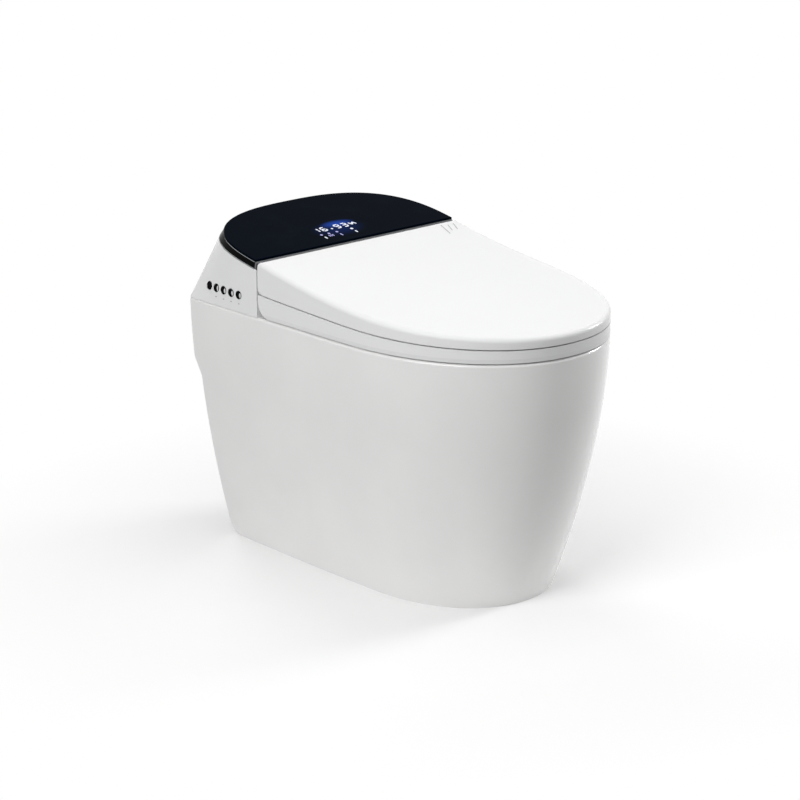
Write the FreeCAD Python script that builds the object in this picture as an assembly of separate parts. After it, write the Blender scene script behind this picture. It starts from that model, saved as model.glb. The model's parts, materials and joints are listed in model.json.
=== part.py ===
import FreeCAD, Part
import math
import os

os.makedirs("parts", exist_ok=True)
V = FreeCAD.Vector

# Overall sizes, in millimetres. The front points along -Y, the wall end along +Y.
BODY_WIDTH = 400.0
BODY_LENGTH = 619.0
RIM_HEIGHT = 390.0
HOUSING_LENGTH = 164.0

# Rises above the rim plane, and how the seat and lid lines bow between their ends.
SEAT_REAR_RISE = 36.0
SEAT_FRONT_RISE = 20.5
SEAT_SAG = 2.4
LID_REAR_RISE = 77.0
LID_FRONT_RISE = 36.0
LID_SAG = 7.7
LID_KICK = 10.0
KICK_POWER = 4
CROWN = 4.0
PANEL_FRONT_RISE = 87.0
PANEL_REAR_RISE = 118.0

# Walls, skins and clearances.
CERAMIC_WALL = 12.0
DECK = 16.0
BOWL_WALL = 10.0
SKIN = 3.0
PLATE = 4.0
JOIN_GAP = 2.4
SEAM_GAP = 2.0
SEAT_LIFT = 2.0
REST_GAP = 0.3
RUN_FIT = 0.05
SLIDE_FIT = 0.3
SEAT_FIT = 0.2
PASS = 5.0

# Plan of the rim and of the floor.
FRONT_LENGTH = 257.0
REAR_TAPER = 7.2
FLOOR_TAPER = 122.8
FLOOR_REAR_TAPER = 16.0
FLOOR_SHIFT = 14.9
TOE_TUCK = 72.5
RIM_POWER = 2.1
FLOOR_POWER = 2.17
FLANK_POWER = 1.7
REAR_CORNER = 5.0
INNER_CORNER = 4.0
RIM_FILLET = 4.0
REAR_Y = BODY_LENGTH / 2
TIP_Y = -BODY_LENGTH / 2
WIDEST_Y = TIP_Y + FRONT_LENGTH
REAR_WIDTH = BODY_WIDTH - REAR_TAPER
FLOOR_WIDTH = BODY_WIDTH - FLOOR_TAPER
FLOOR_REAR_WIDTH = FLOOR_WIDTH - FLOOR_REAR_TAPER
FLOOR_WIDEST_Y = WIDEST_Y + FLOOR_SHIFT
FLOOR_FRONT = FRONT_LENGTH - TOE_TUCK

# Recess low in the rear wall.
RECESS = 16.0
RECESS_DROP = 85.8
RECESS_SLOPE = 37.0
HEEL_RADIUS = 22.0
RECESS_Y = REAR_Y - RECESS
RECESS_TOP = RIM_HEIGHT - RECESS_DROP
RECESS_LOW = RECESS_TOP - RECESS_SLOPE
INNER_Y = RECESS_Y - CERAMIC_WALL

# Bowl: lands around its mouth, then rings by depth, narrowing, shortening and rearward shift.
BOWL_SIDE_LAND = 66.0
BOWL_FRONT_LAND = 45.2
BOWL_HALF_LENGTH = 176.4
BOWL_POWER = 2.3
BOWL_RINGS = [
    (-2.0, 0.0, 0.0, 0.0),
    (23.4, 2.0, 3.1, -1.9),
    (74.1, 14.0, 24.7, -5.0),
    (132.6, 40.0, 68.1, 1.2),
    (187.2, 68.0, 105.2, 13.6),
    (257.4, 94.0, 136.2, 32.2),
]
BOWL_HALF_WIDTH = BODY_WIDTH / 2 - BOWL_SIDE_LAND
BOWL_Y = TIP_Y + BOWL_FRONT_LAND + BOWL_HALF_LENGTH

# Trap: its start behind the foot of the bowl, the bend over the weir and the floor outlet.
OUTLET_RADIUS = 30.0
OUTLET_SETBACK = 162.0
TRAP_WALL = 9.0
TRAP_BEND = 45.0
TRAP_DROP = 191.9
TRAP_START_BACK = 27.4
TRAP_START_DROP = 1.7
SEAL_HEIGHT = 12.0
SEAL_STEP = 3.0
SEAL_WIDTH = 15.0
SEAL_GROOVE = 6.0
SEAL_GROOVE_DEEP = 3.0
OUTLET_Y = REAR_Y - OUTLET_SETBACK
TRAP_Z = RIM_HEIGHT - TRAP_DROP
SEAL_BORE = OUTLET_RADIUS + SEAL_STEP

# Join between the lid and the rear housing, and the hinge line.
AXIS_SETBACK = 14.0
AXIS_DROP = 14.5
PIN_RADIUS = 4.0
KNUCKLE = 6.6
CHEEK = 35.0
CHEEK_GAP = 7.0
POST_WIDTH = 16.0
POST_FOOT = 9.0
ARM_WIDTH = 12.0
ARM_DEPTH = 14.0
EAR_HALF = 6.0
HINGE_STEP = 2.0
DAMPER_LENGTH = 42.0
DAMPER_CAP = 6.0
DAMPER_CAP_RADIUS = 5.5
DAMPER_SLOT = 2.0
JOIN_Y = REAR_Y - HOUSING_LENGTH
LID_REAR_Y = JOIN_Y - JOIN_GAP / 2
HOUSING_FRONT_Y = JOIN_Y + JOIN_GAP / 2
AXIS_Y = LID_REAR_Y - AXIS_SETBACK
AXIS_Z = RIM_HEIGHT + LID_REAR_RISE + LID_KICK - AXIS_DROP
CHEEK_X = BODY_WIDTH / 2 - CHEEK
PIN_END_X = CHEEK_X - CHEEK_GAP
LID_ARM_X = PIN_END_X - HINGE_STEP - ARM_WIDTH
SEAT_ARM_X = LID_ARM_X - HINGE_STEP - ARM_WIDTH
POST_X = SEAT_ARM_X - HINGE_STEP - POST_WIDTH

# Lid and seat.
LID_EDGE = 7.0
LID_REAR_EDGE = 8.0
LID_REAR_SKIN = 6.0
LID_SLOT_RISE = 8.0
LID_LOW_CORNER = 10.0
LINER_LIFT = 6.0
LINER = 2.0
LINER_SETBACK = 45.0
LID_PAD_RADIUS = 6.0
LID_PAD_SIDE = 52.0
LID_PAD_BACK = 82.4
LID_PAD_WIDE = 96.0
LID_PAD_FRONT = 55.7
SEAT_LOW_CORNER = 24.0
SEAT_LOWER_SHELL = 6.0
SEAT_SIDE_LAND = 90.0
SEAT_FRONT_LAND = 61.9
HOLE_HALF_LENGTH = 152.3
HOLE_ROUND = 6.0
SEAT_REAR_STEP = 12.0
SEAT_PAD_RADIUS = 8.0
SEAT_PAD_SIDE = 32.0
SEAT_PAD_BACK = 94.8
SEAT_PAD_WIDE = 100.0
SEAT_PAD_FRONT = 49.5
HEATER_MARGIN = 9.0
HEATER_FILM = 0.8
HOLE_HALF = BODY_WIDTH / 2 - SEAT_SIDE_LAND
HOLE_Y = TIP_Y + SEAT_FRONT_LAND + HOLE_HALF_LENGTH
SEAT_REAR_EDGE = AXIS_Y - SEAT_REAR_STEP
SEAT_LOW_Z = RIM_HEIGHT + SEAT_LIFT
SEAT_SPLIT = SEAT_LOW_Z + SEAT_LOWER_SHELL
LID_PADS = [(BODY_WIDTH / 2 - LID_PAD_SIDE, LID_REAR_Y - LID_PAD_BACK),
            (LID_PAD_WIDE, TIP_Y + LID_PAD_FRONT)]
SEAT_PADS = [(BODY_WIDTH / 2 - SEAT_PAD_SIDE, LID_REAR_Y - SEAT_PAD_BACK),
             (SEAT_PAD_WIDE, TIP_Y + SEAT_PAD_FRONT)]

# Control panel. The band under the glass flares to a fuller outline where it meets the housing.
PANEL_STEP = 2.3
PANEL_REAR_INSET = 1.5
PANEL_SIDE_INSET = 1.0
PANEL_THICK = 14.0
GLASS_THICK = 3.0
GLASS_EDGE = 1.2
BEZEL_WIDTH = 6.0
PANEL_POWER = 2.7
FLARE_POWER = 3.05
TRIM_HEIGHT = 10.0
TRIM_DROP = 2.0
TRIM_END = 0.4
HOUSING_SIDE_TURN = math.radians(38.0)
HOUSING_REAR_TURN = math.radians(58.0)
HOUSING_LEAD = 12.0
DISPLAY_WIDE = 90.0
DISPLAY_DEEP = 34.0
DISPLAY_THICK = 6.0
DISPLAY_BACK = 23.0
PANEL_FRONT_Y = HOUSING_FRONT_Y + PANEL_STEP
PANEL_REAR_Y = REAR_Y - PANEL_REAR_INSET
PANEL_HALF = BODY_WIDTH / 2 - PANEL_SIDE_INSET
PANEL_FRONT_Z = RIM_HEIGHT + PANEL_FRONT_RISE
PANEL_ANGLE = math.atan2(PANEL_REAR_RISE - PANEL_FRONT_RISE, PANEL_REAR_Y - PANEL_FRONT_Y)
PANEL_DEPTH = (PANEL_REAR_Y - PANEL_FRONT_Y) / math.cos(PANEL_ANGLE)
FLARE_DEPTH = (REAR_Y - PANEL_FRONT_Y) / math.cos(PANEL_ANGLE) - PANEL_THICK * math.tan(PANEL_ANGLE)
PANEL_SHAPE = (PANEL_DEPTH, PANEL_POWER)
FLARE_SHAPE = (FLARE_DEPTH, FLARE_POWER)

# Side buttons.
BUTTON_COUNT = 5
BUTTON_RADIUS = 6.2
BUTTON_PITCH = 18.3
BUTTON_SETBACK = 47.5
BUTTON_RISE = 26.4
BUTTON_PROUD = 0.9
BUTTON_LIP = 1.4
BUTTON_DISH = 0.5
BUTTON_TRAVEL_ROOM = 2.2
STEM_RADIUS = 2.5
STEM_REACH = 4.5
CARRIER_SIDE = 24.0
CARRIER_WALL = 2.5
CARRIER_MARGIN = 14.0
CARRIER_FOOT = 8.0
CARRIER_RISE = 12.0
BUTTON_Z = RIM_HEIGHT + BUTTON_RISE
CARRIER_X = -BODY_WIDTH / 2 + CARRIER_SIDE

# Works bay in the rear deck, and the base plate bolted over it.
BAY_SIDE = 50.0
BAY_FRONT_STEP = 20.0
BAY_REAR_STEP = 36.0
PLATE_LAP = 22.0
PLATE_REAR_LAP = 20.0
BOLT_RADIUS = 3.0
BOLT_HEAD = 5.5
BOLT_HEAD_TALL = 4.0
BOLT_SIDE = 11.0
BOLT_FRONT = 14.0
BOLT_BACK = 8.0
FEED_X = 70.0
FEED_BACK = 20.0
FEED_RADIUS = 14.0
BAY_HALF = BODY_WIDTH / 2 - BAY_SIDE
BAY_FRONT_Y = HOUSING_FRONT_Y + BAY_FRONT_STEP
BAY_REAR_Y = REAR_Y - BAY_REAR_STEP
PLATE_TOP = RIM_HEIGHT + PLATE
PLATE_HALF = BAY_HALF + PLATE_LAP
TONGUE_HALF = CHEEK_X - HINGE_STEP
PLATE_FRONT_Y = SEAT_REAR_EDGE + HINGE_STEP
PLATE_REAR_Y = BAY_REAR_Y + PLATE_REAR_LAP
BOLT_ROWS = (BAY_FRONT_Y + BOLT_FRONT, BAY_REAR_Y - BOLT_BACK)
BOLT_SPOTS = [(side * (BAY_HALF + BOLT_SIDE), y) for side in (-1, 1) for y in BOLT_ROWS]
FEED_Y = BAY_REAR_Y - FEED_BACK

# Wash nozzle on a line tilted down towards the front.
NOZZLE_TILT = math.radians(18.0)
NOZZLE_SETBACK = 32.0
NOZZLE_DROP = 12.0
NOZZLE_RADIUS = 7.0
NOZZLE_LENGTH = 150.0
TIP_LENGTH = 8.0
TIP_STEP = 0.3
TIP_NOSE = 4.0
JET_RADIUS = 0.8
JET_SPOTS = (-3.0, 0.5, 4.0)
RACK_START = 60.0
RACK_LENGTH = 80.0
GUIDE_HALF = 16.0
GUIDE_HALF_TALL = 14.0
GUIDE_START = 38.0
GUIDE_LENGTH = 128.0
GUIDE_END_WALL = 6.0
GUIDE_EAR = 20.0
GUIDE_EAR_DEEP = 18.0
GUIDE_EAR_BACK = 52.0
CHANNEL_HALF = 21.0
CHANNEL_TALL = 22.0
NOTCH_HALF = 24.0
NOTCH_REACH = 60.0
NOTCH_DEPTH = 32.0
NOZZLE_MOTOR_RADIUS = 12.0
NOZZLE_MOTOR_LENGTH = 26.0
NOZZLE_MOTOR_BACK = 22.0
NOZZLE_Y = LID_REAR_Y - NOZZLE_SETBACK
NOZZLE_Z = RIM_HEIGHT - NOZZLE_DROP
NOZZLE_ALONG = V(0, math.cos(NOZZLE_TILT), math.sin(NOZZLE_TILT))
NOZZLE_UP = V(0, -math.sin(NOZZLE_TILT), math.cos(NOZZLE_TILT))
GUIDE_EAR_Y = BAY_FRONT_Y + GUIDE_EAR_BACK

# Warm air dryer.
DRYER_SIDE = 62.0
DRYER_BACK = 40.0
DRYER_RADIUS = 33.0
DRYER_TALL = 32.0
DRYER_WALL = 2.5
DRYER_NECK = 4.0
MOUTH_SHIFT = 8.0
WHEEL_RADIUS = 26.0
WHEEL_FLOOR = 2.0
WHEEL_HUB = 6.0
WHEEL_GAP_LOW = 3.0
WHEEL_GAP_HIGH = 3.5
BLADE_COUNT = 16
BLADE_LENGTH = 9.0
BLADE_THICK = 1.2
BLADE_TURN = 30.0
BLADE_INNER = 16.8
SHAFT_RADIUS = 2.5
SHAFT_LENGTH = 22.0
SHAFT_HOLE = 4.0
DRYER_MOTOR_RADIUS = 15.0
DRYER_MOTOR_TALL = 18.0
DRYER_X = BAY_HALF - DRYER_SIDE
DRYER_Y = BAY_FRONT_Y + DRYER_BACK
DRYER_TOP = PLATE_TOP + DRYER_TALL
MOUTH_X0 = DRYER_X - DRYER_RADIUS
MOUTH_X1 = DRYER_X - MOUTH_SHIFT
MOUTH_Y = DRYER_Y - DRYER_RADIUS - DRYER_NECK

# Boxes on the base plate: width, depth, height; then where each starts.
WATER_HEATER = (70.0, 48.0, 40.0)
WATER_HEATER_SIDE = 2.0
WATER_HEATER_FRONT = -4.0
POWER_SUPPLY = (76.0, 48.0, 34.0)
POWER_SUPPLY_SIDE = 10.0
POWER_SUPPLY_FRONT = 52.0
DIVERTER = (30.0, 26.0, 24.0)
DIVERTER_X = -54.0
DIVERTER_FRONT = 76.0
INLET_VALVE = (28.0, 26.0, 30.0)
INLET_VALVE_FRONT = 50.0
CARTRIDGE = (28.0, 44.0, 42.0)
CARTRIDGE_FRONT = -10.0
RIGHT_ROW_SIDE = 26.0
SPIGOT_TALL = 8.0
HEATER_SPIGOT = 5.0
DIVERTER_SPIGOT = 3.5
VALVE_COIL = 9.0
VALVE_COIL_TALL = 16.0
SLOT_WIDTH = 4.0
SLOT_PITCH = 11.0
SLOT_DEEP = 2.5
VENT_WIDTH = 3.0
VENT_PITCH = 7.5
VENT_DEEP = 4.0
PUMP_BODY_RADIUS = 15.0
PUMP_BODY_LENGTH = 48.0
PUMP_NOSE_RADIUS = 11.0
PUMP_NOSE_LENGTH = 8.0
PUMP_BODY_SIDE = 58.0
PUMP_BODY_BACK = 96.0
PUMP_CRADLE_END = 6.0
PUMP_CRADLE_HALF = 12.0
BOARD_HALF = 92.0
BOARD_TALL = 60.0
BOARD_THICK = 1.6
BOARD_SETBACK = 4.0
CHIP = (16.0, 6.0, 16.0)
CHIP_SPOTS = (-70.0, -40.0, -10.0, 25.0, 60.0)
CHIP_RISE = 14.0
CAPACITOR_RADIUS = 5.0
CAPACITOR_LENGTH = 12.0
CAPACITOR_SPOTS = (-60.0, 0.0, 45.0)
CAPACITOR_RISE = 44.0

# Flush tank, pump and pipe under the deck.
TANK_HALF = 96.0
TANK_TALL = 140.0
TANK_FRONT_STEP = 38.0
TANK_REAR_GAP = 4.0
TANK_WALL = 4.0
TANK_CORNER = 10.0
TANK_FILL_RADIUS = 6.0
TANK_PORT_RADIUS = 8.0
PUMP_BACK = 30.0
PUMP_RADIUS = 22.0
PUMP_FOOT_RADIUS = 16.0
PUMP_FOOT_TALL = 16.0
PUMP_BELOW_PORT = 14.0
PORT_REACH = 34.0
PORT_DROP = 4.0
PORT_RADIUS = 9.0
PORT_WALL = 2.0
PIPE_BEND = 26.0
TANK_FRONT_Y = BAY_FRONT_Y + TANK_FRONT_STEP
TANK_REAR_Y = BAY_REAR_Y - TANK_REAR_GAP
TANK_LOW = RIM_HEIGHT - TANK_TALL
PORT_X = PIPE_BEND
PUMP_X = PORT_X + PORT_REACH
PUMP_Y = TANK_FRONT_Y + PUMP_BACK
PORT_Z = TRAP_Z - PORT_DROP

# Service plate in the rear wall, with the water inlet and the cable gland.
CONNECTOR_Z = 195.0
SERVICE_HALF = 106.0
SERVICE_TALL = 54.0
SERVICE_CORNER = 10.0
SERVICE_LAP = 8.0
SERVICE_LIP = 4.0
INLET_X = 80.0
INLET_RADIUS = 10.45
INLET_WALL = 3.0
INLET_REACH = 14.0
INLET_COLLAR = 4.0
INLET_COLLAR_THICK = 2.5
GLAND_X = -80.0
GLAND_RADIUS = 8.0
GLAND_BORE = 4.0
GLAND_REACH = 12.0
GLAND_COLLAR = 4.0
GLAND_COLLAR_THICK = 5.0
NUT_THICK = 7.0
STUB_INSIDE = 10.0
LIP_Y = INNER_Y - SERVICE_LIP


def box(x0, x1, y0, y1, z0, z1):
    return Part.makeBox(x1 - x0, y1 - y0, z1 - z0, V(x0, y0, z0))


def rod(radius, start, end):
    along = end.sub(start)
    return Part.makeCylinder(radius, along.Length, start, along)


def rod_x(radius, x0, x1, y, z):
    return rod(radius, V(x0, y, z), V(x1, y, z))


def rod_y(radius, x, y0, y1, z):
    return rod(radius, V(x, y0, z), V(x, y1, z))


def rod_z(radius, x, y, z0, z1):
    return rod(radius, V(x, y, z0), V(x, y, z1))


def prism_x(points, x0, x1):
    corners = [V(x0, y, z) for y, z in points]
    face = Part.Face(Part.makePolygon(corners + corners[:1]))
    return face.extrude(V(x1 - x0, 0, 0))


def mirrored(shape):
    return shape.mirror(V(0, 0, 0), V(1, 0, 0))


def both_sides(shape):
    return shape.fuse(mirrored(shape))


def spline(points, closed=False):
    curve = Part.BSplineCurve()
    curve.interpolate(Points=points, PeriodicFlag=closed)
    return curve.toShape()


def blend(start, end, amount):
    return start + (end - start) * amount


def rounded(shape, radius, wanted):
    edges = [edge for edge in shape.Edges if wanted(edge)]
    return shape.makeFillet(radius, edges)


def save(name, shape):
    shape.removeSplitter().exportStep("parts/" + name + ".step")


def side_line(half, half_rear, widest_y, start_y, y):
    s = (y - widest_y) / (start_y - widest_y)
    return half - (half - half_rear) * s * s


def outline(half, half_rear, rear_y, widest_y, front, power, corner, z):
    start_y = rear_y - corner
    right = []
    for i in range(6):
        y = blend(start_y, widest_y, i / 6)
        right.append((side_line(half, half_rear, widest_y, start_y, y), y))
    for i in range(13):
        turn = math.pi / 2 * i / 12
        x = half * math.cos(turn) ** (2 / power) if i < 12 else 0.0
        right.append((x, widest_y - front * math.sin(turn) ** (2 / power)))
    left = [(-x, y) for x, y in reversed(right[:-1])]
    side = spline([V(x, y, z) for x, y in right + left])
    bend = corner * math.sqrt(0.5)
    cx = half_rear - corner
    rear = Part.makeLine(V(-cx, rear_y, z), V(cx, rear_y, z))
    right_arc = Part.Arc(V(cx, rear_y, z), V(cx + bend, start_y + bend, z), V(half_rear, start_y, z))
    left_arc = Part.Arc(V(-half_rear, start_y, z), V(-cx - bend, start_y + bend, z), V(-cx, rear_y, z))
    return Part.Wire([rear, right_arc.toShape(), side, left_arc.toShape()])


def inset_corner(inset):
    return max(REAR_CORNER - inset, INNER_CORNER)


def body_section(z, inset=0.0):
    lean = max((RIM_HEIGHT - z) / RIM_HEIGHT, 0.0) ** FLANK_POWER
    half = blend(BODY_WIDTH, FLOOR_WIDTH, lean) / 2 - inset
    half_rear = blend(REAR_WIDTH, FLOOR_REAR_WIDTH, lean) / 2 - inset
    widest_y = blend(WIDEST_Y, FLOOR_WIDEST_Y, lean)
    front = blend(FRONT_LENGTH, FLOOR_FRONT, lean) - inset
    power = blend(RIM_POWER, FLOOR_POWER, lean)
    return outline(half, half_rear, REAR_Y - inset, widest_y, front, power, inset_corner(inset), z)


def rim_prism(z0, z1, inset=0.0):
    wire = outline(BODY_WIDTH / 2 - inset, REAR_WIDTH / 2 - inset, REAR_Y - inset, WIDEST_Y,
                   FRONT_LENGTH - inset, RIM_POWER, inset_corner(inset), z0)
    return Part.Face(wire).extrude(V(0, 0, z1 - z0))


def oval_wire(half_width, half_length, centre_y, z):
    points = []
    for i in range(32):
        turn = 2 * math.pi * i / 32
        c = math.cos(turn)
        s = math.sin(turn)
        x = math.copysign(abs(c) ** (2 / BOWL_POWER), c) * half_width
        y = math.copysign(abs(s) ** (2 / BOWL_POWER), s) * half_length
        points.append(V(x, centre_y + y, z))
    return Part.Wire([spline(points, True)])


def bowl_loft(grow):
    wires = []
    for depth, narrowing, shortening, shift in BOWL_RINGS:
        half_width = BOWL_HALF_WIDTH - narrowing + grow
        half_length = BOWL_HALF_LENGTH - shortening + grow
        wires.append(oval_wire(half_width, half_length, BOWL_Y + shift, RIM_HEIGHT - depth))
    loft = Part.makeLoft(wires, True, False)
    if grow:
        foot = Part.Face(wires[-1]).extrude(V(0, 0, -grow))
        loft = loft.fuse(foot)
    return loft


def trap_pipe(radius, lead, foot_z):
    depth, narrowing, shortening, shift = BOWL_RINGS[-1]
    start = V(0, BOWL_Y + shift + TRAP_START_BACK, RIM_HEIGHT - depth - TRAP_START_DROP)
    centre = V(0, OUTLET_Y - TRAP_BEND, TRAP_Z)
    back = start.sub(centre)
    turn = math.atan2(back.z, back.y) % (2 * math.pi) - math.acos(TRAP_BEND / back.Length)

    def on_bend(angle):
        return centre.add(V(0, math.cos(angle), math.sin(angle)) * TRAP_BEND)

    knee = on_bend(turn)
    along = knee.sub(start)
    along.normalize()
    start = start.sub(along * lead)
    fall = on_bend(0.0)
    foot = V(0, OUTLET_Y, foot_z)
    arc = Part.Arc(knee, on_bend(turn / 2), fall).toShape()
    path = Part.Wire([Part.makeLine(start, knee), arc, Part.makeLine(fall, foot)])
    circle = Part.Wire([Part.makeCircle(radius, start, along)])
    return path.makePipeShell([circle], True, False)


def rear_recess():
    bend = HEEL_RADIUS * math.sqrt(0.5)
    far = REAR_Y + PASS
    x = BODY_WIDTH
    start = V(-x, RECESS_Y - HEEL_RADIUS, 0)
    mid = V(-x, RECESS_Y - HEEL_RADIUS + bend, HEEL_RADIUS - bend)
    end = V(-x, RECESS_Y, HEEL_RADIUS)
    corners = [end, V(-x, RECESS_Y, RECESS_LOW), V(-x, REAR_Y, RECESS_TOP), V(-x, far, RECESS_TOP + PASS)]
    corners += [V(-x, far, -PASS), V(-x, RECESS_Y - HEEL_RADIUS, -PASS), start]
    edges = [Part.Arc(start, mid, end).toShape()]
    edges += [Part.makeLine(a, b) for a, b in zip(corners, corners[1:])]
    return Part.Face(Part.Wire(edges)).extrude(V(2 * x, 0, 0))


def nozzle_notch():
    top = RIM_HEIGHT + PASS
    front = NOZZLE_Y - NOTCH_REACH
    back = BAY_FRONT_Y + PASS
    points = [(front, top), (front, NOZZLE_Z - NOTCH_DEPTH), (back, RIM_HEIGHT - DECK - PASS), (back, top)]
    return prism_x(points, -NOTCH_HALF, NOTCH_HALF)


def service_block(grow, y0, y1):
    half = SERVICE_HALF + grow
    tall = SERVICE_TALL / 2 + grow
    block = box(-half, half, y0, y1, CONNECTOR_Z - tall, CONNECTOR_Z + tall)
    return rounded(block, SERVICE_CORNER + grow, lambda e: e.BoundBox.YLength > SERVICE_LIP / 2)


def ceramic_body():
    levels = [0.0, 0.08, 0.2, 0.34, 0.5, 0.66, 0.82, 1.0]
    outer = Part.makeLoft([body_section(f * RIM_HEIGHT) for f in levels], True, False)
    outer = rounded(outer, RIM_FILLET, lambda e: min(v.Z for v in e.Vertexes) > RIM_HEIGHT - 0.1)
    outer = outer.cut(rear_recess())
    lows = [-0.01] + levels[1:-1] + [1.0 - DECK / RIM_HEIGHT]
    cavity = Part.makeLoft([body_section(f * RIM_HEIGHT, CERAMIC_WALL) for f in lows], True, False)
    wide = BODY_WIDTH
    far = REAR_Y + PASS
    heel_y = INNER_Y - HEEL_RADIUS
    cavity = cavity.cut(box(-wide, wide, INNER_Y, far, -2 * PASS, RIM_HEIGHT))
    cavity = cavity.cut(box(-wide, wide, heel_y, far, -2 * PASS, 2 * HEEL_RADIUS))
    low = RIM_HEIGHT - DECK - PASS
    top = RIM_HEIGHT + PASS
    shell = outer.cut(cavity)
    shell = shell.cut(bowl_loft(0.0))
    shell = shell.cut(box(-BAY_HALF, BAY_HALF, BAY_FRONT_Y, BAY_REAR_Y, low, top))
    shell = shell.cut(nozzle_notch())
    for x, y in BOLT_SPOTS:
        shell = shell.cut(rod_z(BOLT_RADIUS + SEAT_FIT, x, y, low, top))
    return shell.cut(service_block(0.0, INNER_Y - PASS, far))


def bowl_and_trap():
    wide = BODY_WIDTH
    bowl = bowl_loft(BOWL_WALL).common(box(-wide, wide, TIP_Y, REAR_Y, 0, RIM_HEIGHT - DECK))
    bowl = bowl.fuse(trap_pipe(OUTLET_RADIUS + TRAP_WALL, TRAP_WALL, SEAL_HEIGHT))
    bowl = bowl.cut(bowl_loft(0.0))
    bowl = bowl.cut(trap_pipe(OUTLET_RADIUS, 0.0, SEAL_HEIGHT - PASS))
    return bowl.cut(nozzle_notch())


def outlet_seal():
    outer = SEAL_BORE + SEAL_WIDTH
    ring = rod_z(outer, 0, OUTLET_Y, 0, SEAL_HEIGHT)
    ring = ring.cut(rod_z(SEAL_BORE, 0, OUTLET_Y, -PASS, SEAL_HEIGHT + PASS))
    inner = SEAL_BORE + (SEAL_WIDTH - SEAL_GROOVE) / 2
    groove = rod_z(inner + SEAL_GROOVE, 0, OUTLET_Y, -PASS, SEAL_GROOVE_DEEP)
    groove = groove.cut(rod_z(inner, 0, OUTLET_Y, -2 * PASS, SEAL_HEIGHT))
    return ring.cut(groove)


def rail_height(rear_rise, front_rise, sag, y):
    s = (LID_REAR_Y - y) / (LID_REAR_Y - TIP_Y)
    return RIM_HEIGHT + blend(rear_rise, front_rise, s) - 4 * sag * s * (1 - s)


def seam_height(y):
    return rail_height(SEAT_REAR_RISE, SEAT_FRONT_RISE, SEAT_SAG, y)


def lid_height(y):
    ahead = (y - TIP_Y) / (LID_REAR_Y - TIP_Y)
    return rail_height(LID_REAR_RISE, LID_FRONT_RISE, LID_SAG, y) + LID_KICK * ahead ** KICK_POWER


def profile_block(height, shift, z0, crown=0.0):
    wires = []
    reach = BODY_WIDTH / 2 + 4 * PASS
    for i in range(9):
        s = -0.06 + 1.12 * i / 8
        y = blend(LID_REAR_Y, TIP_Y, s)
        z = height(y) + shift
        rise = crown * 4 * max(s, 0.0) * max(1 - s, 0.0)
        left = V(-reach, y, z)
        right = V(reach, y, z)
        arch = spline([left, V(-reach / 2, y, z + 0.75 * rise), V(0, y, z + rise),
                       V(reach / 2, y, z + 0.75 * rise), right])
        base = Part.makePolygon([right, V(reach, y, z0), V(-reach, y, z0), left])
        wires.append(Part.Wire([arch] + base.Edges))
    return Part.makeLoft(wires, True, False)


def rear_trim(top_radius, low_radius, low_z):
    top_z = lid_height(LID_REAR_Y)
    slope = math.atan(top_z - lid_height(LID_REAR_Y - 1.0))
    x = -BODY_WIDTH
    y0 = TIP_Y - PASS
    y1 = LID_REAR_Y
    cy = y1 - top_radius
    cz = top_z - top_radius * math.tan(slope) - top_radius / math.cos(slope)
    bend = low_radius * math.sqrt(0.5)
    low_start = V(x, y1 - low_radius, low_z)
    low_mid = V(x, y1 - low_radius + bend, low_z + low_radius - bend)
    low_end = V(x, y1, low_z + low_radius)
    top_start = V(x, y1, cz)
    half_turn = (math.pi / 2 + slope) / 2
    top_mid = V(x, cy + top_radius * math.cos(half_turn), cz + top_radius * math.sin(half_turn))
    top_end = V(x, cy - top_radius * math.sin(slope), cz + top_radius * math.cos(slope))
    sky = top_z + RIM_HEIGHT
    loop = [top_end, V(x, top_end.y, sky), V(x, y0, sky), V(x, y0, 0), V(x, low_start.y, 0), low_start]
    edges = [Part.makeLine(a, b) for a, b in zip(loop, loop[1:])]
    edges.append(Part.Arc(low_start, low_mid, low_end).toShape())
    edges.append(Part.makeLine(low_end, top_start))
    edges.append(Part.Arc(top_start, top_mid, top_end).toShape())
    return Part.Face(Part.Wire(edges)).extrude(V(2 * BODY_WIDTH, 0, 0))


def hinge_rod(radius, x0, x1):
    return rod_x(radius, x0, x1, AXIS_Y, AXIS_Z)


def hinge_bore(radius):
    return hinge_rod(radius, -PIN_END_X - PASS, PIN_END_X + PASS)


def lid_shell():
    low = RIM_HEIGHT
    high = AXIS_Z + RIM_HEIGHT
    body = profile_block(lid_height, 0.0, low, CROWN).common(rim_prism(low, high))
    body = body.cut(profile_block(seam_height, SEAM_GAP / 2, low - PASS))

    def top_edge(edge):
        return edge.BoundBox.YLength > HOLE_HALF_LENGTH and edge.BoundBox.ZMax > AXIS_Z

    body = rounded(body, LID_EDGE, top_edge)
    body = body.common(rear_trim(LID_REAR_EDGE, LID_LOW_CORNER, seam_height(LID_REAR_Y) + SEAM_GAP / 2))
    hollow = profile_block(lid_height, -SKIN, low - PASS, CROWN).common(rim_prism(low - PASS, high, SKIN))
    hollow = hollow.cut(box(-BODY_WIDTH, BODY_WIDTH, LID_REAR_Y - LID_REAR_SKIN, REAR_Y, 0, high))
    body = body.cut(hollow)
    body = body.cut(box(-CHEEK_X, CHEEK_X, AXIS_Y, REAR_Y, low, AXIS_Z + LID_SLOT_RISE))
    front = AXIS_Y - EAR_HALF
    back = AXIS_Y + EAR_HALF
    side = [(front, AXIS_Z), (back, AXIS_Z), (back, lid_height(back) - SKIN / 2),
            (front, lid_height(front) - SKIN / 2)]
    ear = hinge_rod(KNUCKLE, LID_ARM_X, LID_ARM_X + ARM_WIDTH)
    ear = ear.fuse(prism_x(side, LID_ARM_X, LID_ARM_X + ARM_WIDTH))
    return body.fuse(both_sides(ear)).cut(hinge_bore(PIN_RADIUS + RUN_FIT))


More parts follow.
